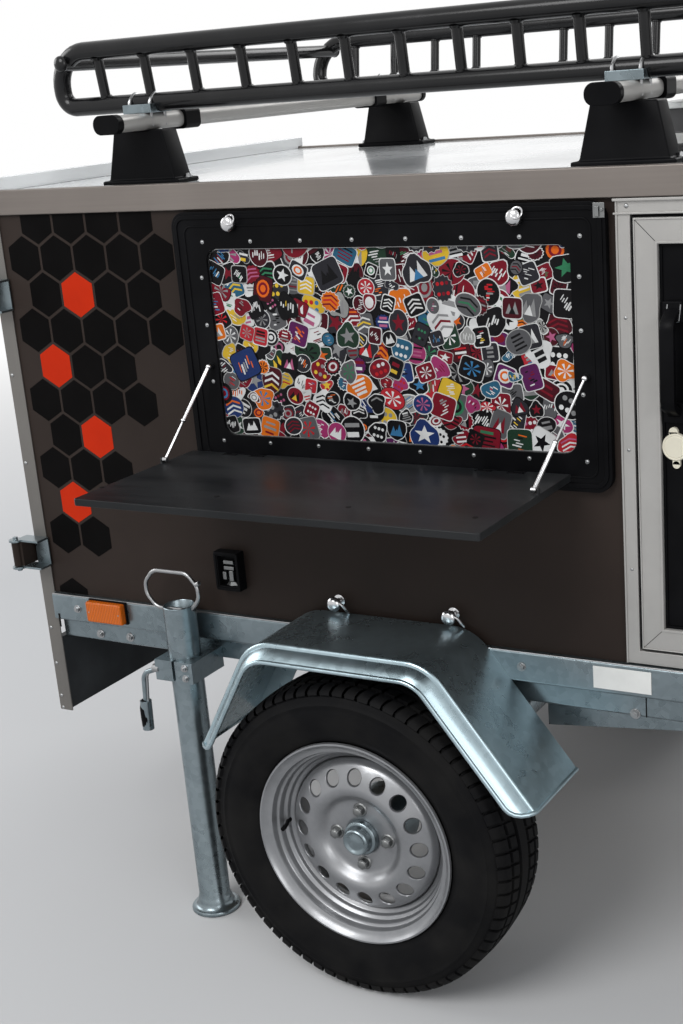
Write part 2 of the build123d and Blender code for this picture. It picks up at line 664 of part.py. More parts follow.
def prop_clamp():
    """Split block on the chassis that grips the stand, with its lever."""
    z0, z1 = PROP_CLAMP_Z
    outer = PROP_Y + PROP_R + 9
    lug = block(PROP_X - 42, PROP_X + 42, -HALF + 10.5, -outer, z0, z1)
    lug -= rod((PROP_X, -PROP_Y, z0 - 1), (PROP_X, -PROP_Y, z1 + 1), PROP_R + 0.3)
    lug -= block(PROP_X - 3, PROP_X + 3, -PROP_Y - PROP_R + 4, -outer - 1, z0 - 1, z1 + 1)
    x, y, z = PROP_X - 40, 6 - outer, (z0 + z1) / 2
    lever = FilletPolyline((x, y, z), (x - 36, y, z - 14), (x - 40, y, z - 76), radius=22)
    return lug + tube(lever, 5) + rod((x - 40, y, z - 70), (x - 42, y, z - 128), 11)


def prop_stand():
    """Round tube with a wire loop through its top and a dished foot."""
    y = -PROP_Y
    pole = rod((PROP_X, y, 14), (PROP_X, y, PROP_TOP), PROP_R)
    pole -= rod((PROP_X, y, 40), (PROP_X, y, PROP_TOP + 1), PROP_R - 3)
    foot = rod((PROP_X, y, 0), (PROP_X, y, 8), PROP_FOOT_R)
    dish = loft([(Plane.XY.offset(8) * (Pos(PROP_X, y) * Circle(PROP_FOOT_R - 4))).face(),
                 (Plane.XY.offset(30) * (Pos(PROP_X, y) * Circle(PROP_R + 2))).face()])
    half, flat = LOOP
    z0, z1, z2, z3 = LOOP_Z
    loop = FilletPolyline((LOOP_X - flat, y, z0), (LOOP_X - half, y, z1), (LOOP_X - half, y, z2),
                          (LOOP_X - flat, y, z3), (LOOP_X + flat, y, z3), (LOOP_X + half, y, z2),
                          (LOOP_X + half, y, z1), (LOOP_X + flat, y, z0), radius=24, close=True)
    return pole + foot + dish + tube(loop, 4)


def jockey_clamp():
    """Collar on the drawbar that holds the jockey wheel's outer tube."""
    z0, z1 = 448, 500
    y = -JOCKEY_Y
    collar = rod((JOCKEY_X, y, z0), (JOCKEY_X, y, z1), JOCKEY_R + 9)
    arm = block(JOCKEY_X - 25, JOCKEY_X + 25, y, -BAR_INNER_AT_JOCKEY, z0 + 6, z1 - 6)
    clamp = collar + arm
    clamp -= rod((JOCKEY_X, y, z0 - 1), (JOCKEY_X, y, z1 + 1), JOCKEY_R + 0.3)
    return clamp + rod((JOCKEY_X + 30, y, 474), (JOCKEY_X + 75, y, 474), 7)


def jockey_leg():
    """Outer tube with a crank on top; it slides in the collar."""
    y = -JOCKEY_Y
    leg = rod((JOCKEY_X, y, 235), (JOCKEY_X, y, JOCKEY_TOP), JOCKEY_R)
    crank = FilletPolyline((JOCKEY_X, y, JOCKEY_TOP - 2), (JOCKEY_X, y, JOCKEY_TOP + 22),
                           (JOCKEY_X - 120, y, JOCKEY_TOP + 22), (JOCKEY_X - 120, y, JOCKEY_TOP + 90),
                           radius=12)
    return leg + tube(crank, 6) + rod((JOCKEY_X - 120, y, JOCKEY_TOP + 30),
                                      (JOCKEY_X - 120, y, JOCKEY_TOP + 92), 11)


def jockey_fork():
    """Fork that swivels under the leg and holds the wheel's pin."""
    y = -JOCKEY_Y
    x = JOCKEY_X - JOCKEY_TRAIL
    half = JOCKEY_WHEEL_W / 2 + 6
    crown = rod((JOCKEY_X, y, 214), (JOCKEY_X, y, 229), 34)
    crown += block(x - 16, JOCKEY_X, y - half, y + half, 214, 220)
    for side in (-1, 1):
        cheek = make_face(Polyline((x - 16, JOCKEY_WHEEL_R - 14), (x + 16, JOCKEY_WHEEL_R - 14),
                                   (JOCKEY_X + 20, 218), (x - 16, 218), close=True))
        start = y + side * half
        crown += extrude(Plane.XZ.offset(-start) * cheek, amount=side * 4)
    crown += rod((x, y - half - 6, JOCKEY_WHEEL_R), (x, y + half + 6, JOCKEY_WHEEL_R), 8)
    return crown


def jockey_wheel():
    y = -JOCKEY_Y
    x = JOCKEY_X - JOCKEY_TRAIL
    half = JOCKEY_WHEEL_W / 2
    tyre_part = rod((x, y - half, JOCKEY_WHEEL_R), (x, y + half, JOCKEY_WHEEL_R), JOCKEY_WHEEL_R)
    tyre_part = fillet(tyre_part.edges().filter_by(GeomType.CIRCLE), 12)
    for side in (-1, 1):
        tyre_part -= rod((x, y + side * half, JOCKEY_WHEEL_R),
                         (x, y + side * (half - 12), JOCKEY_WHEEL_R), 66)
    return tyre_part - rod((x, y - half, JOCKEY_WHEEL_R), (x, y + half, JOCKEY_WHEEL_R), 8.1)


def nodes():
    """Every piece of the trailer by its node name."""
    parts = {
        "chassis_rails": both_sides(chassis_rail()),
        "cross_members": cross_members(),
        "drawbar_right": drawbar_leg(),
        "drawbar_left": other_side(drawbar_leg()),
        "drawbar_plates": drawbar_plates(),
        "coupling_head": coupling_head(),
        "coupling_lever": coupling_lever(),
        "axle_beam": axle_beam(),
        "front_posts": both_sides(corner_post(BODY_FRONT, FLOOR_UNDER, PANEL_TOP, -1)),
        "rear_posts": both_sides(corner_post(BODY_REAR, REAR_POST_FOOT, PANEL_TOP, 1)),
        "roof_edge": roof_edge(),
        "roof_panel": roof_panel(),
        "rear_header": rear_header(),
        "roof_vent": roof_vent(),
        "floor_panel": block(BODY_REAR, BODY_FRONT - WALL, -HALF + WALL, HALF - WALL,
                             FLOOR_UNDER, FLOOR_UNDER + FLOOR_THICK),
        "front_panel": block(BODY_FRONT - WALL, BODY_FRONT, -HALF + WALL, HALF - WALL,
                             FLOOR_UNDER, PANEL_TOP),
        "side_panel_right": side_panel([
            (DOOR_X0, DOOR_X1, DOOR_Z0, DOOR_Z1), STICKER]),
        "side_panel_left": other_side(side_panel([])),
        "door_surround": door_surround(),
        "door_leaf": door_leaf(),
        "door_panel": door_panel(),
        "door_handle": door_handle(),
        "key_cover": key_cover(),
        "rear_door_right": rear_door(),
        "rear_door_left": other_side(rear_door()),
        "hinge_blocks": hinge_blocks(),
        "rear_lock": rear_lock(),
        "hatch_frame": hatch_frame(),
        "hatch_panel": hatch_panel(),
        "hatch_catches": hatch_catches(),
        "table_leaf": table_leaf(),
        "stay_rear": stay("stay_rear"),
        "stay_front": stay("stay_front"),
        "tie_hooks": tie_hooks(),
        "socket_box": socket_box(),
        "side_markers": both_sides(side_marker()),
        "blank_plate": blank_plate(),
        "lamp_board": lamp_board(),
        "rear_lamps": rear_lamps(),
        "rack_feet": rack_feet(),
        "crossbars": crossbars(),
        "crossbar_caps": crossbar_caps(),
        "basket": basket(),
        "basket_clamps": basket_clamps(),
        "prop_clamp_right": prop_clamp(),
        "prop_clamp_left": other_side(prop_clamp()),
        "prop_stand_right": prop_stand(),
        "prop_stand_left": other_side(prop_stand()),
        "jockey_clamp": jockey_clamp(),
        "jockey_leg": jockey_leg(),
        "jockey_fork": jockey_fork(),
        "jockey_wheel": jockey_wheel(),
    }
    wheel = {"tyre": tyre(), "rim": rim(), "hub": hub(), "mudguard": mudguard()}
    for name, piece in wheel.items():
        parts[name + "_right"] = piece
        parts[name + "_left"] = other_side(piece)
    return parts


os.makedirs("parts", exist_ok=True)
for node_name, shape in nodes().items():
    export_step(Pos(-MIDDLE[0], -MIDDLE[1], 0) * shape, f"parts/{node_name}.step")
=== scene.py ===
import bpy
import bmesh
import json
import random
from math import atan2, copysign, cos, hypot, pi, radians, sin, tan, tau
from mathutils import Matrix, Vector

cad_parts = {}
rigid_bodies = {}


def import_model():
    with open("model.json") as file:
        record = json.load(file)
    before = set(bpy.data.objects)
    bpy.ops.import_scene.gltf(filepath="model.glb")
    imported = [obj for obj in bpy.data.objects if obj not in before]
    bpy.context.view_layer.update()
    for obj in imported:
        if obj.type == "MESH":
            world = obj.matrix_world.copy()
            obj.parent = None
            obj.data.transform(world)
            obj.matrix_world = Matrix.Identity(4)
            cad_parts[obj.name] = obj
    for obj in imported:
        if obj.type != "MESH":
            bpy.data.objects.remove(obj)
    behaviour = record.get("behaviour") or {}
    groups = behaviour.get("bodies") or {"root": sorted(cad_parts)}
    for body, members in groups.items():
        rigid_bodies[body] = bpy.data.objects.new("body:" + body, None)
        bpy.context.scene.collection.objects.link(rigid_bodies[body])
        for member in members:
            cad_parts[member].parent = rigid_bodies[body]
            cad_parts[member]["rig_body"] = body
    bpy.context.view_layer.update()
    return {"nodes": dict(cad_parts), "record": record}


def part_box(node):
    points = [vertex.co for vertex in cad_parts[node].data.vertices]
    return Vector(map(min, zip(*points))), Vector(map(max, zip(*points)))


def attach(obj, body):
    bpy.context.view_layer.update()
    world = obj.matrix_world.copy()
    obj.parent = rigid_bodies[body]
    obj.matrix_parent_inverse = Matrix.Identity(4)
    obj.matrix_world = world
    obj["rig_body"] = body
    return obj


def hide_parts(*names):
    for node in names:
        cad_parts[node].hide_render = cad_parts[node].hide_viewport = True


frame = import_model()

# New pieces are drawn in workshop millimetres: x forwards from the axle, y to the left
# from the centre line, z up from the ground. fitted() carries them into the frame.
MM = 0.001
right_hub, left_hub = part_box("hub_right"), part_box("hub_left")
HOME = Vector(((right_hub[0].x + right_hub[1].x) / 2, (right_hub[0].y + left_hub[1].y) / 2, 0))
BODY = "trailer"
SLOTS = {part["node"]: part["material_slot"] for part in frame["record"]["subparts"]}
X, Y, Z = 0, 1, 2
LOW, HIGH = 0, 1
UP, OUT = (0, 0, 1), (0, -1, 0)             # upwards, and out of the right-hand side
FACE_ON = Matrix.Rotation(pi / 2, 4, "X")   # turns a flat or spun shape to face out
VERT, EDGE, FACE = bmesh.types.BMVert, bmesh.types.BMEdge, bmesh.types.BMFace


def span(node):
    """Least and greatest x, y and z of a CAD node in workshop millimetres."""
    return list(zip(*((corner - HOME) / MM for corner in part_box(node))))


# Faces of the right-hand side
PANEL_X, (WALL_Y, _), PANEL_Z = span("side_panel_right")
PRINT_X, (PRINT_Y, _), PRINT_Z = span("hatch_panel")
PRINT_CORNER = 22
HATCH_X, _, (_, HATCH_TOP) = span("hatch_frame")
HATCH_Y = span("hatch_catches")[Y][HIGH]    # front of the black hatch frame
DOOR_Y = span("door_panel")[Y][LOW]
RAIL_Y = span("chassis_rails")[Y][LOW]
LOW_RAIL_Y = RAIL_Y + 22.5                  # recessed lower band of the chassis rail
ROOF_Z = span("roof_edge")[Z][HIGH]

# Wheels
AXLE_Z = (right_hub[0].z + right_hub[1].z) / 2 / MM
TRACK = -sum(span("tyre_right")[Y]) / 2
BOLTS, BOLT_PITCH_R = 4, 50
HOLES, HOLE_R, HOLE_PITCH_R = 16, 13.5, 114
HOLE_EDGE, HOLE_DEPTH = 1.8, 2.6            # pressed edge of a hole
RING_R = (97, 131)                          # sloping ring of the disc that has the holes
PITCHES = 72                                # repeats of the tread
TREAD_BLOCKS = ((20, 40), (46, 72), (-40, -20), (-72, -46))
BLOCK_R, BLOCK_GAP, BLOCK_HEIGHT = 267, 1.0, 5.2    # tread blocks, beyond a radius
TREAD_SLANT, TREAD_HALF = radians(3.2), 66  # turn of the blocks' cuts over half the tread
SLANT_R = (255, 275)                        # radii between which that turn sets in

# Mudguards: path of the sheet's middle beside the chassis, and its section
GUARD_PATH = [(336, 404), (160, 632), (-178, 632), (-298, 424)]
GUARD_BEND = 80
GUARD_SHOULDER, HEM_START = 170, 158        # the skirt's upper edge; where the hem sets out
GUARD_HEM = (195, -23)
GUARD_HEM_R = 4
GUARD_CORNER = 36
GUARD_FLANGE = 40
GUARD_END = 260                             # how far an end's cuts reach into the sheet

# Honeycomb film: columns are half a pitch apart, and each row names its cells' columns
COMB_PITCH, COMB_ROW, COMB_CELL_R = 75.3, 65.2, 40.3
COMB_ORIGIN = (-601, 1180)
COMB_LIFT = 0.4
COMB_BLACK = {-2: (-2, 0, 2, 4), -1: (-3, -1, 1, 3, 5), 0: (-2, 2, 4), 1: (-3, -1, 1, 3, 5),
              2: (0, 2), 3: (-3, -1, 1, 3), 4: (-2,), 5: (-3, -1, 1), 7: (-3, -1), 9: (-3,)}
COMB_ORANGE = {0: (0,), 2: (-2,), 4: (0,), 6: (-2,)}

# Roof rack
RACK_X = (-468, 420)
FOOT_Y = 447
BASKET_X = (-647, 598)
LOWER_RAIL = (433, 1498)
TOP_RAIL = (446, 1590)
HOOP_BENDS = (24, 24, 66, 66)
HOOP_R, UPRIGHT_R, SLAT_R, END_R = 15.5, 9, 9, 14
FIRST_UPRIGHT, UPRIGHT_PITCH = 93, 100
SLATS, SLAT_END = 7, 45
END_RAIL = 26
U_BOLT_HALF, U_BOLT_SHIFT = 19, 22

# Prop stands
PROP = Vector((-422, -573, 0))
PROP_R, PROP_TOP = 30, 626
LOOP_X = PROP.x - 12
CLAMP_Z = 508


class Value:
    """A shader socket that takes part in sums; each sign adds one Math node."""

    def __init__(self, nodes, socket):
        self.nodes = nodes
        self.socket = socket

    def maths(self, operation, first, second=0.0):
        return self.nodes.node("ShaderNodeMath", {"operation": operation}, {0: first, 1: second})

    def __add__(self, other):
        return self.maths("ADD", self, other)

    def __radd__(self, other):
        return self.maths("ADD", other, self)

    def __sub__(self, other):
        return self.maths("SUBTRACT", self, other)

    def __rsub__(self, other):
        return self.maths("SUBTRACT", other, self)

    def __mul__(self, other):
        return self.maths("MULTIPLY", self, other)

    def __rmul__(self, other):
        return self.maths("MULTIPLY", other, self)

    def __truediv__(self, other):
        return self.maths("DIVIDE", self, other)

    def above(self, edge):
        return self.maths("GREATER_THAN", self, edge)

    def clipped(self):
        return self.maths("MINIMUM", self.maths("MAXIMUM", self, 0.0), 1.0)

    def power(self, exponent):
        return self.maths("POWER", self, exponent)

    def sine(self):
        return self.maths("SINE", self)


class Nodes:
    """The nodes of a material or of the world."""

    def __init__(self, tree):
        self.tree = tree

    def node(self, kind, settings=None, inputs=None, out=0):
        made = self.tree.nodes.new(kind)
        for key, value in (settings or {}).items():
            setattr(made, key, value)
        for key, value in (inputs or {}).items():
            self.join(made.inputs[key], value)
        return Value(self, made.outputs[out])

    def join(self, socket, value):
        if isinstance(value, Value):
            self.tree.links.new(value.socket, socket)
        else:
            socket.default_value = value

    def seen(self):
        """1 where a camera, glossy or transmission ray looks, 0 for the light on the trailer."""
        direct, glossy, through = [self.node("ShaderNodeLightPath", out="Is %s Ray" % ray)
                                   for ray in ("Camera", "Glossy", "Transmission")]
        return (direct + glossy + through).clipped()

    def show(self, share, usual, shown, output):
        """Send a blend of two shaders to the output."""
        blend = self.node("ShaderNodeMixShader", inputs={0: share, 1: usual, 2: shown})
        self.join(self.tree.nodes[output].inputs["Surface"], blend)


class Finish(Nodes):
    """A material whose patterns are read from object coordinates."""

    def __init__(self, name, colour, roughness, metallic=0.0, sheen=0.5, coat=(0.0, 0.03)):
        self.material = bpy.data.materials.new(name)
        self.material.use_nodes = True
        super().__init__(self.material.node_tree)
        self.shader = self.tree.nodes["Principled BSDF"]
        self.place = self.node("ShaderNodeTexCoord", out="Object")
        for socket, value in (("Base Color", (*colour, 1.0)), ("Roughness", roughness),
                              ("Metallic", metallic), ("Specular IOR Level", sheen),
                              ("Coat Weight", coat[0]), ("Coat Roughness", coat[1])):
            self.set(socket, value)

    def set(self, socket, value):
        self.join(self.shader.inputs[socket], value)

    def stretched(self, x, y, z):
        """Object coordinates scaled unevenly, for brushed or drawn marks."""
        return self.node("ShaderNodeMapping", inputs={"Vector": self.place, "Scale": (x, y, z)})

    def axis(self, index):
        """One of the object coordinates, in metres."""
        return self.node("ShaderNodeSeparateXYZ", inputs={0: self.place}, out=index)

    def noise(self, scale, detail, where=None):
        return self.node("ShaderNodeTexNoise", inputs={
            "Vector": where or self.place, "Scale": scale, "Detail": detail, "Roughness": 0.55})

    def ramp(self, value, low, high):
        """Stretch the part of a value between low and high to 0..1."""
        return ((value - low) / (high - low)).clipped()

    def cloud(self, scale, detail, low, high, where=None):
        """Soft patches from 0 to 1."""
        return self.ramp(self.noise(scale, detail, where), low, high)

    def mix(self, factor, *tones):
        """Blend of two colours."""
        first, second = [(*tone, 1.0) if isinstance(tone, tuple) else tone for tone in tones]
        return self.node("ShaderNodeMix", {"data_type": "RGBA"}, {0: factor, 6: first, 7: second},
                         out=2)

    def bump(self, height, strength, distance):
        self.set("Normal", self.node("ShaderNodeBump", inputs={
            "Height": height, "Strength": strength, "Distance": distance}))

    def grain(self, scale, detail, strength, distance):
        """Fine bumps all over."""
        self.bump(self.noise(scale, detail), strength, distance)


def coated(name, tones, gloss, cloud, grain, metallic=0.0, stretch=None, **fixed):
    """Even coat: soft patches shift its tone and its roughness, and a fine grain its surface.

    gloss is the roughness and what the patches add to it; cloud and grain are what the
    Finish methods of those names take. With one tone alone, the colour stays the same.
    """
    f = Finish(name, tones[0], gloss[0], metallic, **fixed)
    patch = f.cloud(*cloud, where=f.stretched(*stretch) if stretch else None)
    if len(tones) > 1:
        f.set("Base Color", f.mix(patch, *tones))
    f.set("Roughness", gloss[0] + gloss[1] * patch)
    f.grain(*grain)
    return f.material


def painted_panel():
    """Dark brown-black satin sandwich panel with a little haze."""
    return coated("panel_paint", ((0.021, 0.015, 0.0125), (0.034, 0.0245, 0.0205)), (0.42, 0.14),
                  (2.3, 5.0, 0.35, 0.75), (420.0, 2.0, 0.06, 0.0004), sheen=0.1)


def gel_coat():
    """Glossy white roof skin with faint waviness and road film."""
    return coated("gel_coat", ((0.86, 0.87, 0.87), (0.74, 0.755, 0.75)), (0.12, 0.22),
                  (3.0, 5.0, 0.45, 0.85), (14.0, 2.0, 0.05, 0.002), coat=(0.5, 0.05))


def table_finish():
    """Satin black table skin with wiping marks and a fine pebble."""
    return coated("table_skin", ((0.009, 0.010, 0.011), (0.022, 0.023, 0.024)), (0.28, 0.2),
                  (1.0, 4.0, 0.35, 0.75), (700.0, 2.0, 0.07, 0.0003),
                  stretch=(3.0, 14.0, 3.0), sheen=0.15)


def wheel_silver():
    """Silver wheel paint with a light film of brake dust."""
    return coated("wheel_silver", ((0.29, 0.295, 0.305), (0.20, 0.205, 0.215)), (0.28, 0.2),
                  (14.0, 5.0, 0.4, 0.8), (500.0, 2.0, 0.05, 0.0003), 0.75, coat=(0.1, 0.03))


def rubber():
    """Tyre rubber with pale dust."""
    return coated("tyre_rubber", ((0.0045, 0.0045, 0.005), (0.013, 0.0125, 0.012)), (0.55, 0.2),
                  (12.0, 6.0, 0.4, 0.8), (350.0, 3.0, 0.15, 0.0005), sheen=0.06)


def vinyl(name, colour, worn, sheen):
    """Cut vinyl film, flat and a little satin."""
    return coated(name, (colour, worn), (0.46, 0.12), (9.0, 4.0, 0.3, 0.8),
                  (260.0, 2.0, 0.04, 0.0003), sheen=sheen)


def black_finish(name, colour, roughness, grain, depth, sheen=0.1):
    """Powder coat or moulding: black with grain and slightly greyer high spots."""
    pale = tuple(1.8 * tone + 0.002 for tone in colour)
    return coated(name, (colour, pale), (roughness - 0.06, 0.16), (7.0, 5.0, 0.45, 0.85),
                  (grain, 3.0, depth, 0.0005), sheen=sheen)


def moulded(name, colour, roughness):
    """Glossy moulded plastic with a little sink and dust."""
    pale = tuple(0.85 * tone + 0.03 for tone in colour)
    return coated(name, (colour, pale), (roughness, 0.15), (30.0, 4.0, 0.4, 0.9),
                  (120.0, 2.0, 0.04, 0.0004))


def polished(name, colour, roughness):
    """Plated metal with light handling marks."""
    return coated(name, (colour,), (roughness, 0.18), (60.0, 4.0, 0.4, 0.8),
                  (300.0, 2.0, 0.03, 0.0003), 1.0)


def galvanised(name, dark, light):
    """Zinc-dipped steel: pale blue-grey with crystals and dull patches."""
    f = Finish(name, dark, 0.3, 0.92)
    crystal = f.node("ShaderNodeTexVoronoi", inputs={"Vector": f.place, "Scale": 85.0}, out="Color")
    tone = f.node("ShaderNodeRGBToBW", inputs={0: crystal})
    shade = (0.45 * tone + 0.55 * f.cloud(6.0, 5.0, 0.3, 0.75)).clipped()
    f.set("Base Color", f.mix(shade, dark, light))
    f.set("Roughness", 0.22 + 0.16 * shade)
    f.grain(180.0, 3.0, 0.05, 0.0004)
    return f.material


def brushed_profile(name, dark, light, along, metallic=0.7):
    """Anodised aluminium profile with faint drawing marks along its length."""
    f = Finish(name, light, 0.4, metallic)
    marks = f.noise(1.0, 4.0, f.stretched(*along))
    cloud = f.cloud(5.0, 4.0, 0.3, 0.7)
    f.set("Base Color", f.mix((0.6 * marks + 0.4 * cloud).clipped(), dark, light))
    f.set("Roughness", 0.34 + 0.2 * cloud)
    f.bump(marks, 0.08, 0.0004)
    return f.material


def lens(name, colour):
    """Lamp lens with ribs 4 mm apart."""
    f = Finish(name, colour, 0.2, sheen=0.25)
    ribs = ((f.axis(X) + f.axis(Y)) * (tau / 0.004)).sine()
    # Each rib's groove is coloured darker than its crest: painted shade in the grooves.
    groove_shade = tuple(0.55 * tone for tone in colour)
    f.set("Base Color", f.mix(f.ramp(ribs, -1.0, 1.0), groove_shade, colour))
    f.bump(ribs, 0.35, 0.001)
    return f.material


def plywood():
    """Sealed floor board with its grain along the trailer."""
    f = Finish("plywood", (0.25, 0.17, 0.10), 0.6)
    grain = f.noise(1.0, 5.0, f.stretched(4.0, 60.0, 60.0))
    f.set("Base Color", f.mix(f.ramp(grain, 0.3, 0.7), (0.19, 0.12, 0.07), (0.34, 0.24, 0.15)))
    f.bump(grain, 0.1, 0.0005)
    return f.material


def collage_print():
    """Glossy printed film; each shape's colour is kept on its own points."""
    f = Finish("collage_print", (0.2, 0.2, 0.2), 0.3, sheen=0.1)
    tone = f.node("ShaderNodeAttribute", {"attribute_name": "tone"})
    grime = f.cloud(24.0, 5.0, 0.45, 0.8)
    f.set("Base Color", f.mix(0.1 + 0.3 * grime, tone, (0.012, 0.01, 0.01)))
    f.set("Roughness", 0.26 + 0.2 * grime)
    f.grain(90.0, 2.0, 0.05, 0.0004)
    return f.material


def vent_skin():
    """Roof vent by height in metres: near-black at its foot, pale frame, smoked sides and a white lid.
    """
    f = Finish("vent_skin", (0.7, 0.7, 0.7), 0.25)
    height = f.axis(Z)
    shade = (0.02, 0.02, 0.02)
    for edge, tone in ((1.375, (0.60, 0.60, 0.58)), (1.391, (0.05, 0.05, 0.052)),
                       (1.429, (0.76, 0.77, 0.76))):
        shade = f.mix(height.above(edge), shade, tone)
    f.set("Base Color", shade)
    f.set("Roughness", 0.2 + 0.15 * f.cloud(8.0, 4.0, 0.4, 0.8))
    f.grain(60.0, 2.0, 0.05, 0.0006)
    return f.material


FINISHES = {
    "panel": painted_panel(),
    "roof": gel_coat(),
    "edge_profile": brushed_profile("roof_profile", (0.155, 0.135, 0.122), (0.215, 0.19, 0.172),
                                    (3.0, 60.0, 260.0)),
    "frame_profile": brushed_profile("door_profile", (0.345, 0.335, 0.32), (0.40, 0.39, 0.372),
                                     (60.0, 60.0, 60.0), 0.4),
    "galvanised": galvanised("galvanised_steel", (0.155, 0.19, 0.205), (0.27, 0.32, 0.345)),
    "black_steel": black_finish("powder_coat", (0.006, 0.006, 0.0065), 0.24, 260.0, 0.06, 0.3),
    "black_plastic": black_finish("black_moulding", (0.003, 0.003, 0.0035), 0.42, 420.0, 0.08, 0.05),
    "table_top": table_finish(),
    "artwork": collage_print(),
    "chrome": polished("chrome_plate", (0.56, 0.56, 0.57), 0.14),
    "cream": moulded("cream_moulding", (0.66, 0.62, 0.50), 0.3),
    "tyre": rubber(),
    "rim_paint": wheel_silver(),
    "amber": lens("amber_lens", (0.66, 0.135, 0.005)),
    "red_lens": lens("red_lens", (0.34, 0.008, 0.006)),
    "plate": moulded("plate_white", (0.74, 0.74, 0.71), 0.35),
    "board": black_finish("lamp_board_plastic", (0.030, 0.033, 0.036), 0.45, 300.0, 0.08),
    "floor_board": plywood(),
}
COMB_FILM = vinyl("honeycomb_black", (0.0018, 0.0016, 0.0016), (0.004, 0.0035, 0.0035), 0.03)
COMB_BRIGHT = vinyl("honeycomb_orange", (0.50, 0.022, 0.0015), (0.42, 0.017, 0.0012), 0.1)
# Near-black finish for joints and holes: painted shade where gaps and holes are.
SEAM_SHADOW = black_finish("seam_shadow", (0.004, 0.004, 0.004), 0.6, 400.0, 0.05)
ZINC = polished("zinc_plate", (0.34, 0.345, 0.35), 0.28)
BOLT_STEEL = polished("bolt_steel", (0.20, 0.205, 0.205), 0.36)
# Mudguard finish: a lighter copy of the galvanised one, with the bright reflections on the guards
# painted into its colour.
GUARD_ZINC_LIT = galvanised("mudguard_zinc_lit", (0.30, 0.385, 0.42), (0.44, 0.55, 0.595))
CLEAR_LENS = lens("clear_lens", (0.62, 0.62, 0.60))
VENT_SKIN = vent_skin()
# Rear post finish: dark, with the shade the posts stand in painted into its colour.
POST_SKIN_SHADED = brushed_profile("post_profile_shaded", (0.135, 0.127, 0.117), (0.185, 0.175, 0.163),
                            (60.0, 60.0, 4.0), 0.6)


def finished(name, bm, slot, body, material=None, bevel=0.0, smooth=35, segments=2,
             thickness=0.0, replaces=()):
    """Turn a bmesh, already in the frame, into a piece that rides on a body."""
    mesh = bpy.data.meshes.new(name)
    bm.to_mesh(mesh)
    bm.free()
    for face in mesh.polygons:
        face.use_smooth = True
    mesh.set_sharp_from_angle(angle=radians(smooth))
    piece = bpy.data.objects.new(name, mesh)
    bpy.context.scene.collection.objects.link(piece)
    mesh.materials.append(material or FINISHES[slot])
    if thickness:
        wall = piece.modifiers.new("wall", "SOLIDIFY")
        wall.thickness = thickness
        wall.offset = 0.0
    if bevel:
        edge = piece.modifiers.new("edges", "BEVEL")
        edge.width = bevel
        edge.segments = segments
        edge.limit_method = "ANGLE"
        edge.angle_limit = radians(smooth)
        edge.harden_normals = True
    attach(piece, body)
    if replaces:
        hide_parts(*replaces)


def dressed(node, bevel, material):
    """The CAD node's own shape with merged points, eased edges and its finish."""
    source = frame["nodes"][node]
    bm = bmesh.new()
    bm.from_mesh(source.data)
    bmesh.ops.remove_doubles(bm, verts=bm.verts, dist=0.00001)
    bmesh.ops.dissolve_limit(bm, angle_limit=radians(0.6), verts=bm.verts, edges=bm.edges)
    finished(node + "_dressed", bm, SLOTS[node], source["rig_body"], material, bevel,
             replaces=(node,))


def fitted(name, bm, slot, body=BODY, where=None, pair=False, left=False, **finish):
    """Carry a shape drawn in millimetres into the frame.

    where sets it in place first, pair adds its mirror image, and left swaps its side.
    """
    if where:
        bmesh.ops.transform(bm, matrix=where, verts=bm.verts)
    bmesh.ops.recalc_face_normals(bm, faces=bm.faces)
    if pair:
        mirrored(bm, bmesh.ops.duplicate(bm, geom=whole(bm))["geom"])
    if left:
        mirrored(bm, whole(bm))
    bmesh.ops.transform(bm, matrix=Matrix.Translation(HOME) @ Matrix.Scale(MM, 4), verts=bm.verts)
    finished(name, bm, slot, body, **finish)


def built(name, slot, shapes, body=BODY, **finish):
    """A piece made of simple shapes: each row is a shape's function and what it takes."""
    bm = bmesh.new()
    for shape, *takes in shapes:
        shape(bm, *takes)
    fitted(name, bm, slot, body, **finish)


def whole(bm):
    """All points, edges and faces."""
    return bm.verts[:] + bm.edges[:] + bm.faces[:]


def only(shape, kind):
    return [part for part in shape if isinstance(part, kind)]


def added(bm, known):
    """Points that were made since a set of them was noted."""
    return [vert for vert in bm.verts if vert not in known]


def mirrored(bm, shape):
    """Swap a shape to the other side of the centre line, with its faces still outwards."""
    bmesh.ops.scale(bm, vec=(1, -1, 1), verts=only(shape, VERT))
    bmesh.ops.reverse_faces(bm, faces=only(shape, FACE))


def inset(pair, gap):
    """Two limits moved towards each other."""
    return pair[0] + gap, pair[1] - gap


def line(bm, spots, closed=True):
    """New points and the edges that join them."""
    verts = [bm.verts.new(spot) for spot in spots]
    return verts + [bm.edges.new(pair) for pair in zip(verts, verts[1:] + verts[:1] * closed)]


def extruded(bm, faces):
    """Give faces a depth; the new points are still to be moved."""
    return only(bmesh.ops.extrude_face_region(bm, geom=faces)["geom"], VERT)


def trimmed(bm, spot, away, shape=None):
    """Cut off what lies beyond a plane through a spot."""
    bmesh.ops.bisect_plane(bm, geom=shape or whole(bm), plane_co=spot, plane_no=away,
                           clear_outer=True)


def turned(direction):
    """Matrix that lays the z axis along a direction."""
    return Vector(direction).to_track_quat("Z", "Y").to_matrix().to_4x4()


def disc(bm, spot, axis, radius, depth, sides=24, top=None):
    """Round bar or cone that starts at a spot and runs along an axis."""
    where = Matrix.Translation(spot) @ turned(axis) @ Matrix.Translation((0, 0, depth / 2))
    bmesh.ops.create_cone(bm, cap_ends=True, segments=sides, radius1=radius,
                          radius2=radius if top is None else top, depth=depth, matrix=where)


def slab(bm, x, y, z):
    """Square block between a pair of x, a pair of y and a pair of z."""
    size = [abs(high - low) for low, high in (x, y, z)]
    middle = [(low + high) / 2 for low, high in (x, y, z)]
    where = Matrix.Translation(middle) @ Matrix.Diagonal((*size, 1))
    bmesh.ops.create_cube(bm, size=1, matrix=where)


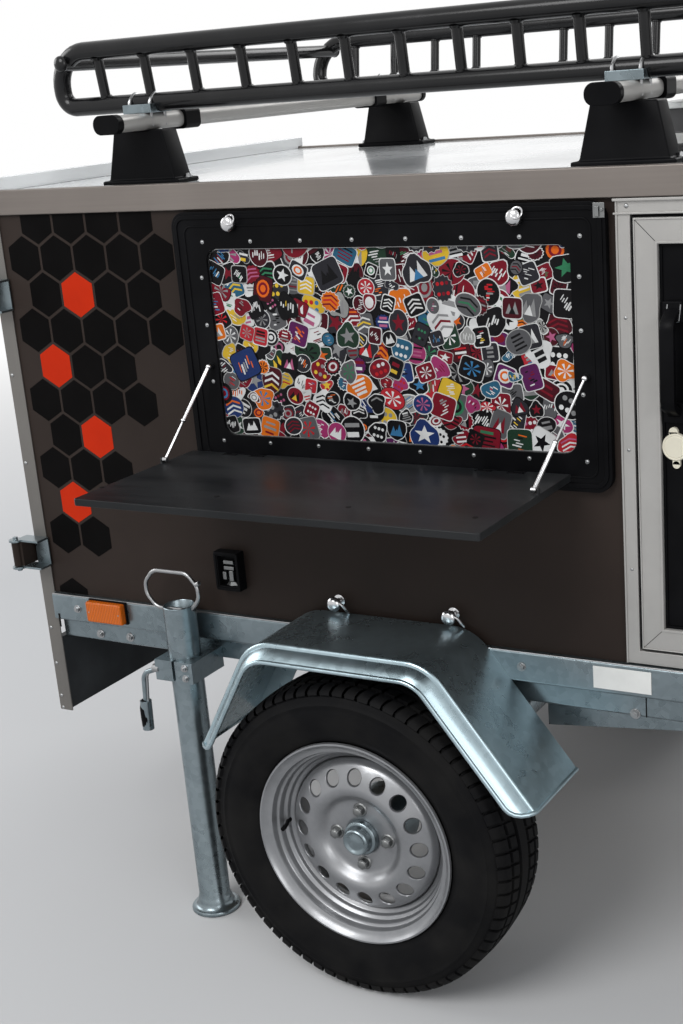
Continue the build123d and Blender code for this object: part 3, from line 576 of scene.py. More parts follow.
def dome(bm, spot, axis, radius, flat, sides=14):
    """Round head, flattened along its axis."""
    where = Matrix.Translation(spot) @ turned(axis) @ Matrix.Diagonal((1, 1, flat, 1))
    bmesh.ops.create_uvsphere(bm, u_segments=sides, v_segments=8, radius=radius, matrix=where)


def hex_bolt(bm, spot, axis, across, washer):
    """Washer, six-sided head and the end of the thread, in shares of the width across."""
    corner, head, thread, end, thick = 0.577, 0.45, 0.3, 0.12, 1.6
    spot, axis = Vector(spot), Vector(axis)
    disc(bm, spot, axis, washer, thick, 20)
    disc(bm, spot + thick * axis, axis, across * corner, across * head, 6)
    disc(bm, spot + (thick + across * head) * axis, axis, across * thread, across * end, 12)


def bent(points, bend, steps=6, closed=False):
    """Path through points with an arc at each corner; bend is one radius or one for each."""
    points = [Vector(point) for point in points]
    radii = list(bend) if isinstance(bend, tuple) else [bend] * len(points)
    path = []
    for count, corner in enumerate(points):
        if not closed and count in (0, len(points) - 1):
            path.append(corner)
            continue
        back = (points[count - 1] - corner).normalized()
        ahead = (points[(count + 1) % len(points)] - corner).normalized()
        half = back.angle(ahead) / 2
        centre = corner + (back + ahead).normalized() * radii[count] / sin(half)
        first = corner + back * radii[count] / tan(half) - centre
        last = corner + ahead * radii[count] / tan(half) - centre
        path += [centre + first.slerp(last, step / steps) * radii[count]
                 for step in range(steps + 1)]
    return path


def tubed(bm, points, radius, sides=12, closed=False):
    """Round wire or tube along a path."""
    curve = bpy.data.curves.new("line", "CURVE")
    curve.dimensions = "3D"
    curve.bevel_depth = radius
    curve.bevel_resolution = (sides - 4) // 2
    curve.use_fill_caps = True
    spline = curve.splines.new("POLY")
    spline.points.add(len(points) - 1)
    for point, spot in zip(spline.points, points):
        point.co = (*spot, 1.0)
    spline.use_cyclic_u = closed
    holder = bpy.data.objects.new("line", curve)
    mesh = bpy.data.meshes.new_from_object(holder)
    known = set(bm.verts)
    bm.from_mesh(mesh)
    bmesh.ops.remove_doubles(bm, verts=added(bm, known), dist=0.001)
    bpy.data.objects.remove(holder)
    bpy.data.curves.remove(curve)
    bpy.data.meshes.remove(mesh)


def frames_along(points, side):
    """A frame at each point of a flat path: x to the side, z along the path."""
    side = Vector(side)
    frames = []
    for count, spot in enumerate(points):
        back = spot - points[max(count - 1, 0)]
        on = points[min(count + 1, len(points) - 1)] - spot
        ahead = (back.normalized() + on.normalized()).normalized()
        turn = Matrix((side, ahead.cross(side), ahead)).transposed().to_4x4()
        frames.append(Matrix.Translation(spot) @ turn)
    return frames


def swept(bm, section, frames):
    """Closed section of (side, up) points carried along frames, its two ends filled."""
    edges = only(line(bm, [frames[0] @ Vector((*spot, 0)) for spot in section]), EDGE)
    ends = [edges]
    for before, after in zip(frames, frames[1:]):
        made = bmesh.ops.extrude_edge_only(bm, edges=edges)["geom"]
        edges = only(made, EDGE)
        bmesh.ops.transform(bm, matrix=after @ before.inverted(), verts=only(made, VERT))
    ends.append(edges)
    for end in ends:
        bmesh.ops.edgeloop_fill(bm, edges=end)


def spun(bm, section, steps, where=None, closed=False):
    """Section of (radius, height) points turned about its own axis."""
    known = set(bm.verts)
    shape = line(bm, [(radius, 0, height) for radius, height in section], closed)
    bmesh.ops.spin(bm, geom=shape, axis=UP, angle=tau, steps=steps, use_merge=True)
    bmesh.ops.remove_doubles(bm, verts=added(bm, known), dist=0.002)
    if where:
        bmesh.ops.transform(bm, matrix=where, verts=added(bm, known))


def all_round(bm, shape, count):
    """Copies of one sector, turned round the axis."""
    bmesh.ops.spin(bm, geom=shape, axis=UP, angle=tau - tau / count, steps=count - 1,
                   use_duplicate=True)


def outline(bm, x, z, corner, y, width, depth):
    """Flat ring with rounded corners, proud of a face on the right-hand side."""
    rings = []
    for gap in (0, width):
        (x0, x1), (z0, z1) = inset(x, gap), inset(z, gap)
        path = bent([(x0, y, z0), (x1, y, z0), (x1, y, z1), (x0, y, z1)],
                    max(corner - gap, 0.5), closed=True)
        rings += only(line(bm, path), EDGE)
    face = bmesh.ops.bridge_loops(bm, edges=rings)["faces"]
    bmesh.ops.translate(bm, verts=extruded(bm, face), vec=(0, -depth, 0))


# Piece: mudguards
def hem_end(end, ahead):
    """The hem over a cut end and round its outer corner; it dips past the shoulder."""
    reach, drop = GUARD_HEM
    spots = [(0, 0, 0), (HEM_START, 0, 0)]
    for turn in (radians(15 * step) for step in range(7)):
        out = reach - GUARD_CORNER + GUARD_CORNER * sin(turn)
        dip = min(0.0, (out - GUARD_SHOULDER) / (reach - GUARD_SHOULDER) * drop)
        spots.append((out, dip, ahead * GUARD_CORNER * (1 - cos(turn))))
    return [end @ Vector(spot) for spot in spots]


def mudguards():
    """Pressed guards: flat top, bead on the shoulder, sloping skirt, rolled hem, inner flange."""
    frames = frames_along(bent([(x, RAIL_Y, z) for x, z in GUARD_PATH], GUARD_BEND, 10), OUT)
    reach, drop = GUARD_HEM
    bead = [(166 + 6 * sin(turn), -3.6 + 6 * cos(turn)) for turn in (-0.5, 0, 0.4, 0.8, 1.2, 1.5)]
    section = [(0, 1.5), (80, 1.5), (157, 1.5), (161, 1.7), *bead, (172.4, -5.2), (174.6, -6.2),
               (181, -9.4), (188, -15), (reach, drop), (187, -18), (176, -9.5), (168, -3),
               (150, -1.5), (3, -1.5), (3, -GUARD_FLANGE), (0, -GUARD_FLANGE)]
    sheet = bmesh.new()
    swept(sheet, section, frames)
    for end, ahead in ((frames[0], -1), (frames[-1], 1)):
        outer = end @ Vector((reach - GUARD_CORNER, 0, -ahead * GUARD_CORNER))
        for turn in (radians(10 + 14 * step) for step in range(6)):
            slant = end.to_3x3() @ Vector((cos(turn), 0, ahead * sin(turn)))
            near = [face for face in sheet.faces
                    if (face.calc_center_median() - end.translation).length < GUARD_END]
            shape = set(near) | {e for f in near for e in f.edges} | {v for f in near for v in f.verts}
            trimmed(sheet, outer + slant * GUARD_CORNER, slant, list(shape))
            bmesh.ops.holes_fill(sheet, edges=[e for e in sheet.edges if e.is_boundary])
    # Sheets and hems both take the mudguard finish with its painted reflection.
    fitted("mudguard_sheets", sheet, "galvanised", pair=True, smooth=28, material=GUARD_ZINC_LIT,
           replaces=("mudguard_right", "mudguard_left"))
    along = [spot @ Vector((reach, drop, 0)) for spot in frames[1:-1]]
    wire = hem_end(frames[0], 1) + along + hem_end(frames[-1], -1)[::-1]
    built("mudguard_hems", "galvanised", [(tubed, wire, GUARD_HEM_R)], pair=True, smooth=50,
          material=GUARD_ZINC_LIT)


# Piece: wheels, drawn about their own axle with z outwards, then stood upright
WHEEL_AT = Matrix.Translation((0, -TRACK, AXLE_Z)) @ Matrix(
    ((1, 0, 0), (0, 0, -1), (0, 1, 0))).to_4x4()


def on_wheel(side):
    """What sets a shape upright at its wheel's place and lets it turn with the wheel."""
    return {"body": "wheel_" + side, "where": WHEEL_AT, "left": side == "left"}


def tyre(side):
    """Tyre with ribs and blocks: one pitch of the tread is made and turned round."""
    half = [(169, 57), (183, 57), (186.5, 61.5), (190, 65.5), (194, 66.5), (197, 69), (203, 70.8),
            (212, 74.5), (222, 77.6), (230, 78.4), (238, 78.2), (246, 77.2), (252, 75.8),
            (253.5, 76.4), (256, 76.2), (257.5, 74.6), (263, 72.6), (270, 69.5), (275.5, 66),
            (279.5, 60), (281, 46), (281.6, 40), (283, 20), (283.3, 13), (288.6, 12)]
    inside = [(169, 44), (184, 44), (226, 65), (265, 49), (276, 0)]
    section = half + [(radius, -out) for radius, out in half[::-1] + inside] + inside[-2::-1]
    pitch = tau / PITCHES
    bm = bmesh.new()
    shape = line(bm, [(radius, 0, out) for radius, out in section])
    for share, steps in ((0.8, 2), (0.2, 1)):
        shape = bmesh.ops.spin(bm, geom=shape, axis=UP, angle=share * pitch,
                               steps=steps)["geom_last"]
    for low, high in TREAD_BLOCKS:
        block = []
        for face in bm.faces:
            x, y, z = face.calc_center_median()
            if hypot(x, y) > BLOCK_R and low < z < high and abs(atan2(y, x)) < 0.8 * pitch:
                block.append(face)
        bmesh.ops.recalc_face_normals(bm, faces=bm.faces)
        bmesh.ops.inset_region(bm, faces=block, thickness=BLOCK_GAP, depth=BLOCK_HEIGHT,
                               use_even_offset=True)
    shoulder, flat = SLANT_R
    for vert in bm.verts:
        tread = min(max((hypot(vert.co.x, vert.co.y) - shoulder) / (flat - shoulder), 0), 1)
        vert.co = Matrix.Rotation(TREAD_SLANT * vert.co.z / TREAD_HALF * tread, 4, "Z") @ vert.co
    all_round(bm, whole(bm), PITCHES)
    bmesh.ops.remove_doubles(bm, verts=bm.verts, dist=0.02)
    fitted("tyre_" + side + "_rubber", bm, "tyre", replaces=("tyre_" + side,), **on_wheel(side))


def dish_out(radius):
    """How far the wheel disc stands out between its crest and the well, where the holes are."""
    inner, outer = RING_R
    return 49.6 - 0.435 * (radius - inner) + 1.3 * sin(pi * (radius - inner) / (outer - inner))


def holed_ring(bm):
    """Ring of the disc with its holes: one sector is made and turned round."""
    known = set(bm.verts)
    inner, outer = RING_R
    hole = bmesh.ops.create_circle(bm, segments=24, radius=HOLE_R + HOLE_EDGE)["verts"]
    bmesh.ops.translate(bm, verts=hole, vec=(HOLE_PITCH_R, 0, 0))
    turns = [tau / HOLES * (step / 6 - 0.5) for step in range(7)]
    rows = [inner + (outer - inner) * step / 6 for step in range(7)]
    border = [(inner, turn) for turn in turns] + [(row, turns[-1]) for row in rows[1:-1]]
    border += [(outer, turn) for turn in turns[::-1]] + [(row, turns[0]) for row in rows[-2:0:-1]]
    ring = line(bm, [(radius * cos(turn), radius * sin(turn), 0) for radius, turn in border])
    round_hole = list({edge for vert in hole for edge in vert.link_edges})
    bmesh.ops.bridge_loops(bm, edges=only(ring, EDGE) + round_hole)
    lip = only(bmesh.ops.extrude_edge_only(bm, edges=round_hole)["geom"], VERT)
    shrink = HOLE_R / (HOLE_R + HOLE_EDGE)
    bmesh.ops.scale(bm, vec=(shrink, shrink, 1), verts=lip,
                    space=Matrix.Translation((-HOLE_PITCH_R, 0, 0)))
    bmesh.ops.translate(bm, vec=(0, 0, -HOLE_DEPTH), verts=lip)
    plate = added(bm, known)
    for vert in plate:
        vert.co.z += dish_out(hypot(vert.co.x, vert.co.y))
    edges = list({edge for vert in plate for edge in vert.link_edges})
    faces = list({face for vert in plate for face in vert.link_faces})
    all_round(bm, plate + edges + faces, HOLES)


def steel_wheel(side):
    """Rolled well with its lip, and a pressed disc with a ring of holes."""
    lip = [(184, 64), (185.4, 66.5), (184.6, 69), (183, 69.2), (180.5, 66), (176, 61.8)]
    well = [(172.5, 60), (168.5, 58.5), (167, 55), (166.4, 49), (164.6, 46.6), (161.4, 45.4),
            (160.2, 43), (159.8, 36), (158.4, 33.6), (154.6, 32.2), (153.2, 30), (152.6, 25.5),
            (150.4, 23.2), (145.6, 21.6), (143.6, 19.4), (143, 16), (143, -20), (146, -25),
            (160, -33), (165, -37), (167, -58), (172, -61), (182.5, -65)]
    inner, outer = RING_R
    bowl = [(29.5, 27), (30.2, 30), (32, 32), (36, 32.8), (60, 32.8), (66, 33.2), (70, 35),
            (74.5, 39.5), (79, 44.6), (83, 48), (87.5, 50), (92, 50.6), (inner, dish_out(inner))]
    rim_side = [(outer, dish_out(outer)), (134.5, 32), (137.5, 27.5), (139.8, 21), (140.6, 14)]
    bm = bmesh.new()
    spun(bm, [(179, 61.2)] + lip + well, 96)
    holed_ring(bm)
    spun(bm, bowl, 96)
    spun(bm, rim_side, 96)
    bmesh.ops.remove_doubles(bm, verts=bm.verts, dist=0.05)
    fitted("rim_" + side + "_steel", bm, "rim_paint", smooth=40, thickness=0.0028,
           replaces=("rim_" + side,), **on_wheel(side))


def wheel_fixings(side):
    """Wheel bolts, the hub with its dust cap, and the valve."""
    bolts = []
    for step in range(BOLTS):
        spot = Matrix.Rotation(tau * step / BOLTS, 4, "Z") @ Vector((BOLT_PITCH_R, 0, 34))
        bolts += [(disc, spot, UP, 13.5, 2.2, 24, 11.5),
                  (disc, spot + Vector((0, 0, 2)), UP, 9.8, 9, 6),
                  (dome, spot + Vector((0, 0, 11)), UP, 7.8, 0.35)]
    built("wheel_bolts_" + side, "chrome", bolts, material=BOLT_STEEL, bevel=0.0007,
          **on_wheel(side))
    hub = [(20.2, -62), (58, -62), (60, -60), (60, 8), (67, 10), (68, 12), (68, 26), (66, 28),
           (31, 28), (31, 43), (29.5, 45), (26, 46), (25, 50), (24.5, 57), (23, 60.5), (21, 61.7),
           (18.5, 61), (16.4, 58.6), (14, 58.2), (8, 60), (0, 60.8), (0, 24), (20.2, 24)]
    built("hub_" + side + "_cap", "galvanised", [(spun, hub, 48, None, True)], smooth=40,
          replaces=("hub_" + side,), **on_wheel(side))
    built("valve_" + side, "black_plastic", [
        (tubed, [(-156, 0, 24), (-152, 0, 34), (-147, 0, 45), (-145, 0, 54)], 3.6),
        (disc, (-145, 0, 54), (0.1, 0, 1), 4.4, 9, 12, 3.8),
        (disc, (-156.5, 0, 22), (0.35, 0, 1), 8, 9, 16, 4.6)], bevel=0.0004, **on_wheel(side))


# Piece: roof rack
def rack_basket():
    """Two hoops of bent tube, uprights, floor slats and end rails with ball ends."""
    bm = bmesh.new()
    x0, x1 = BASKET_X
    (low_y, low_z), (top_y, top_z) = LOWER_RAIL, TOP_RAIL
    for hand in (-1, 1):
        corners = [(x0, hand * low_y, low_z), (x1, hand * low_y, low_z),
                   (x1, hand * top_y, top_z), (x0, hand * top_y, top_z)]
        tubed(bm, bent(corners, HOOP_BENDS, 10, closed=True), HOOP_R, 20, closed=True)
        for x in range(x0 + FIRST_UPRIGHT, x1 - HOOP_BENDS[2], UPRIGHT_PITCH):
            tubed(bm, [(x, hand * low_y, low_z), (x, hand * top_y, top_z)], UPRIGHT_R)
            for y, z, lean in ((low_y, low_z + HOOP_R - 2, 1), (top_y, top_z - HOOP_R + 2, -1)):
                disc(bm, (x, hand * y, z), (0, 0, lean), UPRIGHT_R + 3.2, 4, 14, UPRIGHT_R)
    for step in range(SLATS):
        x = x0 + SLAT_END + (x1 - x0 - 2 * SLAT_END) * step / (SLATS - 1)
        tubed(bm, [(x, -low_y, low_z), (x, low_y, low_z)], SLAT_R)
    for x in inset(BASKET_X, END_RAIL):
        ends = [(x, hand * (top_y + 18), top_z - 18) for hand in (-1, 1)]
        tubed(bm, ends, END_R - 1, 16)
        for end in ends:
            dome(bm, end, (0, 1, 0), END_R, 0.62, 20)
    fitted("rack_basket", bm, "black_steel", smooth=50, replaces=("basket",))


def rack_fittings():
    """Foot bolts and the U-bolts that hold the basket."""
    shapes = []
    low_y, low_z = LOWER_RAIL
    bar_top = span("crossbars")[Z][HIGH]
    near, far = -U_BOLT_HALF, U_BOLT_HALF
    for x, hand in ((x, hand) for x in RACK_X for hand in (-1, 1)):
        shapes += [(hex_bolt, (x + end, hand * FOOT_Y - 8 * hand, ROOF_Z + 4), UP, 9, 7)
                   for end in (-76, 76)]
        y = hand * low_y
        for spot in (x - U_BOLT_SHIFT, x + U_BOLT_SHIFT):
            over = [(spot, y + near, bar_top - 22), (spot, y + near, low_z + 4),
                    (spot, y, low_z + HOOP_R + 2.6), (spot, y + far, low_z + 4),
                    (spot, y + far, bar_top - 22)]
            shapes.append((tubed, bent(over, 11, 5), 3, 8))
            shapes += [(hex_bolt, (spot, y + edge, bar_top + 2), UP, 9, 8) for edge in (near, far)]
    built("rack_fittings", "chrome", shapes, material=ZINC, smooth=40)


# Piece: films, hatch and door trim
def honeycomb():
    """Six-sided cells of film, cut off where the panel ends."""
    for name, cells, film in (("honeycomb_black", COMB_BLACK, COMB_FILM),
                              ("honeycomb_orange", COMB_ORANGE, COMB_BRIGHT)):
        bm = bmesh.new()
        for row, column in ((row, column) for row, columns in cells.items() for column in columns):
            spot = (COMB_ORIGIN[0] + column * COMB_PITCH / 2, WALL_Y - COMB_LIFT,
                    COMB_ORIGIN[1] - row * COMB_ROW)
            bmesh.ops.create_circle(bm, cap_ends=True, segments=6, radius=COMB_CELL_R,
                                    matrix=Matrix.Translation(spot) @ FACE_ON)
        for edge, way in zip(inset(PANEL_Z, 1), (-1, 1)):
            trimmed(bm, (0, 0, edge), (0, 0, way))
        bmesh.ops.translate(bm, verts=extruded(bm, bm.faces[:]), vec=(0, COMB_LIFT, 0))
        fitted(name, bm, "panel", pair=True, material=film)


BLACK, CHALK, GREY = (0.003, 0.003, 0.004), (0.66, 0.66, 0.65), (0.09, 0.09, 0.095)
CRIMSON, WINE = (0.17, 0.006, 0.016), (0.055, 0.004, 0.009)
GROUNDS = [BLACK] * 8 + [(0.02, 0.02, 0.025)] * 4 + [CRIMSON] * 5 + [WINE] * 4 + [GREY] * 2 + [
    (0.28, 0.28, 0.27), CHALK, CHALK, (0.012, 0.035, 0.02), (0.012, 0.035, 0.02),
    (0.62, 0.14, 0.01), (0.02, 0.10, 0.17), (0.012, 0.03, 0.12),
    (0.09, 0.012, 0.08), (0.62, 0.40, 0.03), (0.40, 0.02, 0.03), (0.30, 0.03, 0.12)]
INKS = [CHALK] * 9 + [(0.24, 0.24, 0.24)] * 4 + [BLACK] * 4 + [CRIMSON] * 3 + [
    (0.45, 0.014, 0.02), (0.66, 0.12, 0.012), (0.66, 0.44, 0.04), (0.04, 0.17, 0.34),
    (0.40, 0.10, 0.20), (0.03, 0.17, 0.08)]
CELL = (28, 26)
FILM_LIFT = 0.05                            # each film of a shape above the one below
HEIGHTS = (0, 3, 1, 4, 2, 5)                # level of a shape, by its column and row


class Collage:
    """Cut films of plain shapes; the colour of each is kept on its points."""

    def __init__(self, seed):
        self.draw = random.Random(seed)
        self.bm = bmesh.new()
        self.tone = self.bm.verts.layers.float_color.new("tone")

    def straight(self, where, tone, points):
        """Flat shape with straight sides."""
        verts = [self.bm.verts.new(where @ Vector((x, y, 0))) for x, y in points]
        for vert in verts:
            vert[self.tone] = (*tone, 1.0)
        self.bm.faces.new(verts)

    def rounded(self, where, tone, half, kind="oval", sides=20):
        """Flat oval, plate, shield, burst, wave or free blob."""
        verts = bmesh.ops.create_circle(self.bm, cap_ends=True, segments=sides, radius=1)["verts"]
        phase = self.draw.random() * tau
        power = {"plate": 0.34, "shield": 0.5}.get(kind, 1.0)
        for vert in verts:
            turn = atan2(vert.co.y, vert.co.x)
            x, y = [copysign(abs(part) ** power, part) for part in (cos(turn), sin(turn))]
            if kind == "shield" and y < 0:
                x *= 1 - 0.75 * y * y
            if kind == "burst" and round(turn / tau * sides) % 2:
                x, y = x * 0.86, y * 0.86
            if kind == "blob":
                swell = 1 + 0.13 * sin(3 * turn + phase) + 0.07 * sin(5 * turn + 2 * phase)
                x, y = x * swell, y * swell
            if kind == "wave":
                y = 0.6 * y + 0.3 * sin(2.4 * x + phase)
            vert.co = where @ Vector((x * half[0], y * half[1], 0))
            vert[self.tone] = (*tone, 1.0)

    def motif(self, where, ink, second, half):
        """Plain figure on a shape: rings, bars, star, chevrons, dots, peaks, rays or strokes."""
        draw = self.draw
        a, b = half[0] * 0.72, half[1] * 0.72
        up = where @ Matrix.Translation((0, 0, FILM_LIFT))

        def on(x, y, z):
            return up @ Matrix.Translation((x, y, z))

        kind = draw.choice(("rings", "bars", "star", "chevrons", "dots", "peaks", "rays",
                            "strokes", "strokes", "bars", "strokes"))
        if kind == "rings":
            for share, tone in ((1.0, ink), (0.72, second), (0.42, ink)):
                self.rounded(on(0, 0, FILM_LIFT * (1.0 - share)), tone, (a * share, b * share),
                             sides=14)
        if kind == "bars":
            count = draw.randint(2, 4)
            for step in range(count):
                y = b * (2 * (step + 0.5) / count - 1)
                long = a * draw.uniform(0.5, 1.0)
                thick = b / count * draw.uniform(0.35, 0.7)
                points = [(-long, y - thick), (long, y - thick), (long, y + thick),
                          (-long, y + thick)]
                self.straight(up, draw.choice((ink, second)), points)
        if kind == "star":
            points = [(a * size * sin(pi * step / 5), b * size * cos(pi * step / 5))
                      for step, size in zip(range(10), (1.0, 0.42) * 5)]
            self.straight(up, ink, points)
        if kind == "chevrons":
            for step in (-0.7, -0.1, 0.5):
                points = [(-a, b * step), (0, b * (step + 0.45)), (a, b * step),
                          (a, b * (step - 0.25)), (0, b * (step + 0.2)), (-a, b * (step - 0.25))]
                self.straight(up, draw.choice((ink, second)), points)
        if kind == "dots":
            for x, y in ((x, y) for x in (-0.62, 0.0, 0.62) for y in (-0.55, 0.5)):
                self.rounded(on(a * x, b * y, 0), draw.choice((ink, ink, second)),
                             (a * 0.24, a * 0.24), sides=8)
        if kind == "peaks":
            for x, high in ((-0.45, 0.6), (0.4, 0.9), (0.0, 0.2)):
                points = [(a * (x - 0.5), -b * 0.8), (a * (x + 0.5), -b * 0.8), (a * x, b * high)]
                self.straight(on(0, 0, 0.02 * (1 - high)), ink if high > 0.5 else second, points)
        if kind == "rays":
            for step in range(7):
                sides = [tau * step / 7 + lean for lean in (-0.16, 0.16)]
                points = [(0, 0)] + [(a * cos(turn), b * sin(turn)) for turn in sides]
                self.straight(on(0, 0, 0.004 * step), ink, points)
        if kind == "strokes":
            slant = Matrix.Rotation(draw.random() * pi, 4, "Z")
            count = draw.randint(5, 8)
            for step in range(count):
                x, y = draw.uniform(-0.4, 0.4) * a, b * (1.8 * (step + 0.5) / count - 0.9)
                size = (a * draw.uniform(0.2, 0.55), b * draw.uniform(0.05, 0.11))
                self.rounded(up @ slant @ Matrix.Translation((x, y, 0.006 * step)),
                             draw.choice((ink, second, CHALK)), size, "plate", 8)

    def shape(self, where):
        """One shape with its border and its figure."""
        draw = self.draw
        kind = draw.choice(("oval", "oval", "plate", "plate", "plate", "shield", "burst",
                            "blob", "blob", "wave"))
        size = draw.uniform(11.5, 22.5)
        half = (size * draw.uniform(0.8, 1.25), size * draw.uniform(0.75, 1.1))
        where = where @ Matrix.Rotation(draw.uniform(-0.5, 0.5), 4, "Z")
        ground, ink, second = draw.choice(GROUNDS), draw.choice(INKS), draw.choice(INKS)
        if ink == ground:
            ink = CHALK if ground != CHALK else BLACK
        rim = draw.choice((CHALK, CHALK, CHALK, (0.36, 0.36, 0.35), BLACK))
        border = draw.uniform(0.9, 1.9)
        sides = 28 if kind == "burst" else 24
        state = draw.getstate()
        self.rounded(where, rim, (half[0] + border, half[1] + border), kind, sides)
        draw.setstate(state)    # the border keeps the shape that it surrounds
        inner = where @ Matrix.Translation((0, 0, FILM_LIFT))
        self.rounded(inner, ground, half, kind, sides)
        self.motif(inner, ink, second, half)


def collage():
    """Panel covered with overlapping shapes, trimmed to the opening."""
    films = Collage(41)
    draw, bm = films.draw, films.bm
    (x0, x1), (z0, z1) = PRINT_X, PRINT_Z
    for row in range(int((z1 - z0) / CELL[1]) + 2):
        for column in range(int((x1 - x0) / CELL[0]) + 2):
            x = x0 + (column - 0.4 + 0.5 * (row % 2)) * CELL[0] + draw.uniform(-7, 7)
            z = z0 + (row - 0.3) * CELL[1] + draw.uniform(-6, 6)
            lift = 0.35 + 0.28 * HEIGHTS[column % 3 + 3 * (row % 2)] + 0.0004 * column
            films.shape(Matrix.Translation((x, PRINT_Y - lift, z)) @ FACE_ON)
    films.straight(Matrix.Translation((0, PRINT_Y - 0.1, 0)) @ FACE_ON, BLACK,
                   [(x0, z0), (x1, z0), (x1, z1), (x0, z1)])
    gap = 0.6
    planes = [((x0 + gap, z0), -1.0, 0.0), ((x1 - gap, z0), 1.0, 0.0),
              ((x0, z0 + gap), 0.0, -1.0), ((x0, z1 - gap), 0.0, 1.0)]
    radius = PRINT_CORNER - gap
    for hand, rise in ((-1, -1), (1, -1), (1, 1), (-1, 1)):
        centre_x = PRINT_X[hand > 0] - hand * PRINT_CORNER
        centre_z = PRINT_Z[rise > 0] - rise * PRINT_CORNER
        for turn in (radians(15 * step) for step in range(1, 6)):
            way_x, way_z = hand * cos(turn), rise * sin(turn)
            spot = (centre_x + radius * way_x, centre_z + radius * way_z)
            planes.append((spot, way_x, way_z))
    for (x, z), way_x, way_z in planes:
        trimmed(bm, (x, 0, z), (way_x, 0, way_z))
    flat = Matrix.Translation((0, PRINT_Y - 0.05, 0)) @ Matrix.Diagonal((1, 0, 1, 1))
    bmesh.ops.transform(bm, matrix=flat, verts=extruded(bm, bm.faces[:]))
    fitted("collage_films", bm, "artwork")


def hatch_fittings():
    """Screws round the collage, pale trim line, ridges of the frame, clip and catch rings."""
    spots = [(-304 + 97 * step, z) for step in range(8) for z in (PRINT_Z[1] + 12, PRINT_Z[0] - 10)]
    spots += [(x, z) for x in (PRINT_X[0] - 13, PRINT_X[1] + 14) for z in (1212, 1132, 1035)]
    screws = []
    for x, z in spots:
        screws += [(disc, (x, HATCH_Y, z), OUT, 3.4, 0.5, 16),
                   (dome, (x, HATCH_Y - 0.3, z), OUT, 2.5, 0.55, 12)]
    built("hatch_screws", "chrome", screws, material=ZINC)
    built("collage_trim", "artwork", [
        (outline, PRINT_X, PRINT_Z, PRINT_CORNER, PRINT_Y - 0.1, 1.3, 2.4)], material=ZINC)
    built("hatch_ridges", "black_plastic", [
        (outline, inset(HATCH_X, 5), (889, HATCH_TOP - 5), 22, HATCH_Y, 7, 2.2),
        (outline, (HATCH_X[0] + 24, HATCH_X[1] - 22), (904, HATCH_TOP - 22), 16, HATCH_Y, 3, 1.6)],
        bevel=0.0008, smooth=30)
    clip_y = HATCH_Y - 2.4
    built("hatch_clip", "chrome", [
        (slab, (397, 415), (HATCH_Y, clip_y), (1296, 1318)),
        (slab, (401, 407), (clip_y, HATCH_Y - 6), (1298, 1313)),
        (disc, (411, clip_y, 1308), OUT, 2.6, 2.4, 16)], material=BOLT_STEEL, bevel=0.0008)

    button = [(0, 0), (12.4, 0), (13, 1.2), (13, 8), (11.6, 11.5), (8, 13.6), (0, 14.2)]
    catch_x, _, catch_z = span("hatch_catches")
    z = sum(catch_z) / 2
    rings = []
    for x in inset(catch_x, 13):
        ring = [(x + 7 + 9 * cos(turn), HATCH_Y - 11 + 4 * sin(turn), z + 7 + 8 * sin(turn))
                for turn in (tau * step / 20 for step in range(20))]
        rings += [(spun, button, 28, Matrix.Translation((x, HATCH_Y, z)) @ FACE_ON),
                  (tubed, ring, 1.5, 8, True)]
    built("catch_rings", "chrome", rings, smooth=40, replaces=("hatch_catches",))


def door_trim():
    """Gutter over the door, screws, lips and mitres of its frame, and its seals."""
    frame_x, (face, _), frame_z = span("door_surround")
    low, high = frame_z
    gutter_x = inset(frame_x, -3)
    gutter = [(slab, gutter_x, (face, face - 5), (high - 3, high + 1)),
              (slab, gutter_x, (face, face - 3), (high - 22, high - 19))]
    gutter += [(slab, x, (face, face - 2), (low, high - 3))
               for x in ((frame_x[0], frame_x[0] + 3), (frame_x[1] - 3, frame_x[1]))]
    built("door_gutter", "frame_profile", gutter, bevel=0.0007)
    screws = [(dome, (x, face - 0.2, high - 10), OUT, 3.4, 0.55) for x in (444, 668, 890, 1093)]
    screws += [(dome, (frame_x[0] + 12, face - 0.2, z), OUT, 2.6, 0.5) for z in (760, 950, 1150)]
    built("door_screws", "chrome", screws, material=ZINC)

    leaf_x, _, leaf_z = span("door_leaf")
    leaf_x = (leaf_x[0], frame_x[1] - (leaf_x[0] - frame_x[0]))
    leaf_y = WALL_Y - 6
    built("door_lips", "frame_profile", [
        (outline, inset(leaf_x, 0.5), inset(leaf_z, 0.5), 2, leaf_y, 2.2, 1.6),
        (outline, inset(leaf_x, 33), inset(leaf_z, 33), 1, leaf_y, 3.6, 2.2)],
        "side_door", bevel=0.0006, smooth=30)
    # The mitres are thin near-black lines: painted shade in the frame's corner joints.
    mitres = []
    for z, way_z in zip(leaf_z, (1, -1)):
        for x, way_x in zip(leaf_x, (1, -1)):
            corner = [(x + far * way_x, leaf_y - 0.1, z + far * way_z) for far in (3, 33)]
            mitres.append((tubed, corner, 0.45, 6))
    built("door_mitres", "frame_profile", mitres, "side_door", material=SEAM_SHADOW)
    built("door_seal", "black_plastic", [
        (outline, inset(leaf_x, -4), inset(leaf_z, -4), 3, WALL_Y + 4, 3.6, 3),
        (outline, inset(leaf_x, 36), inset(leaf_z, 36), 3, DOOR_Y, 5, 3)],
        "side_door", bevel=0.0006)


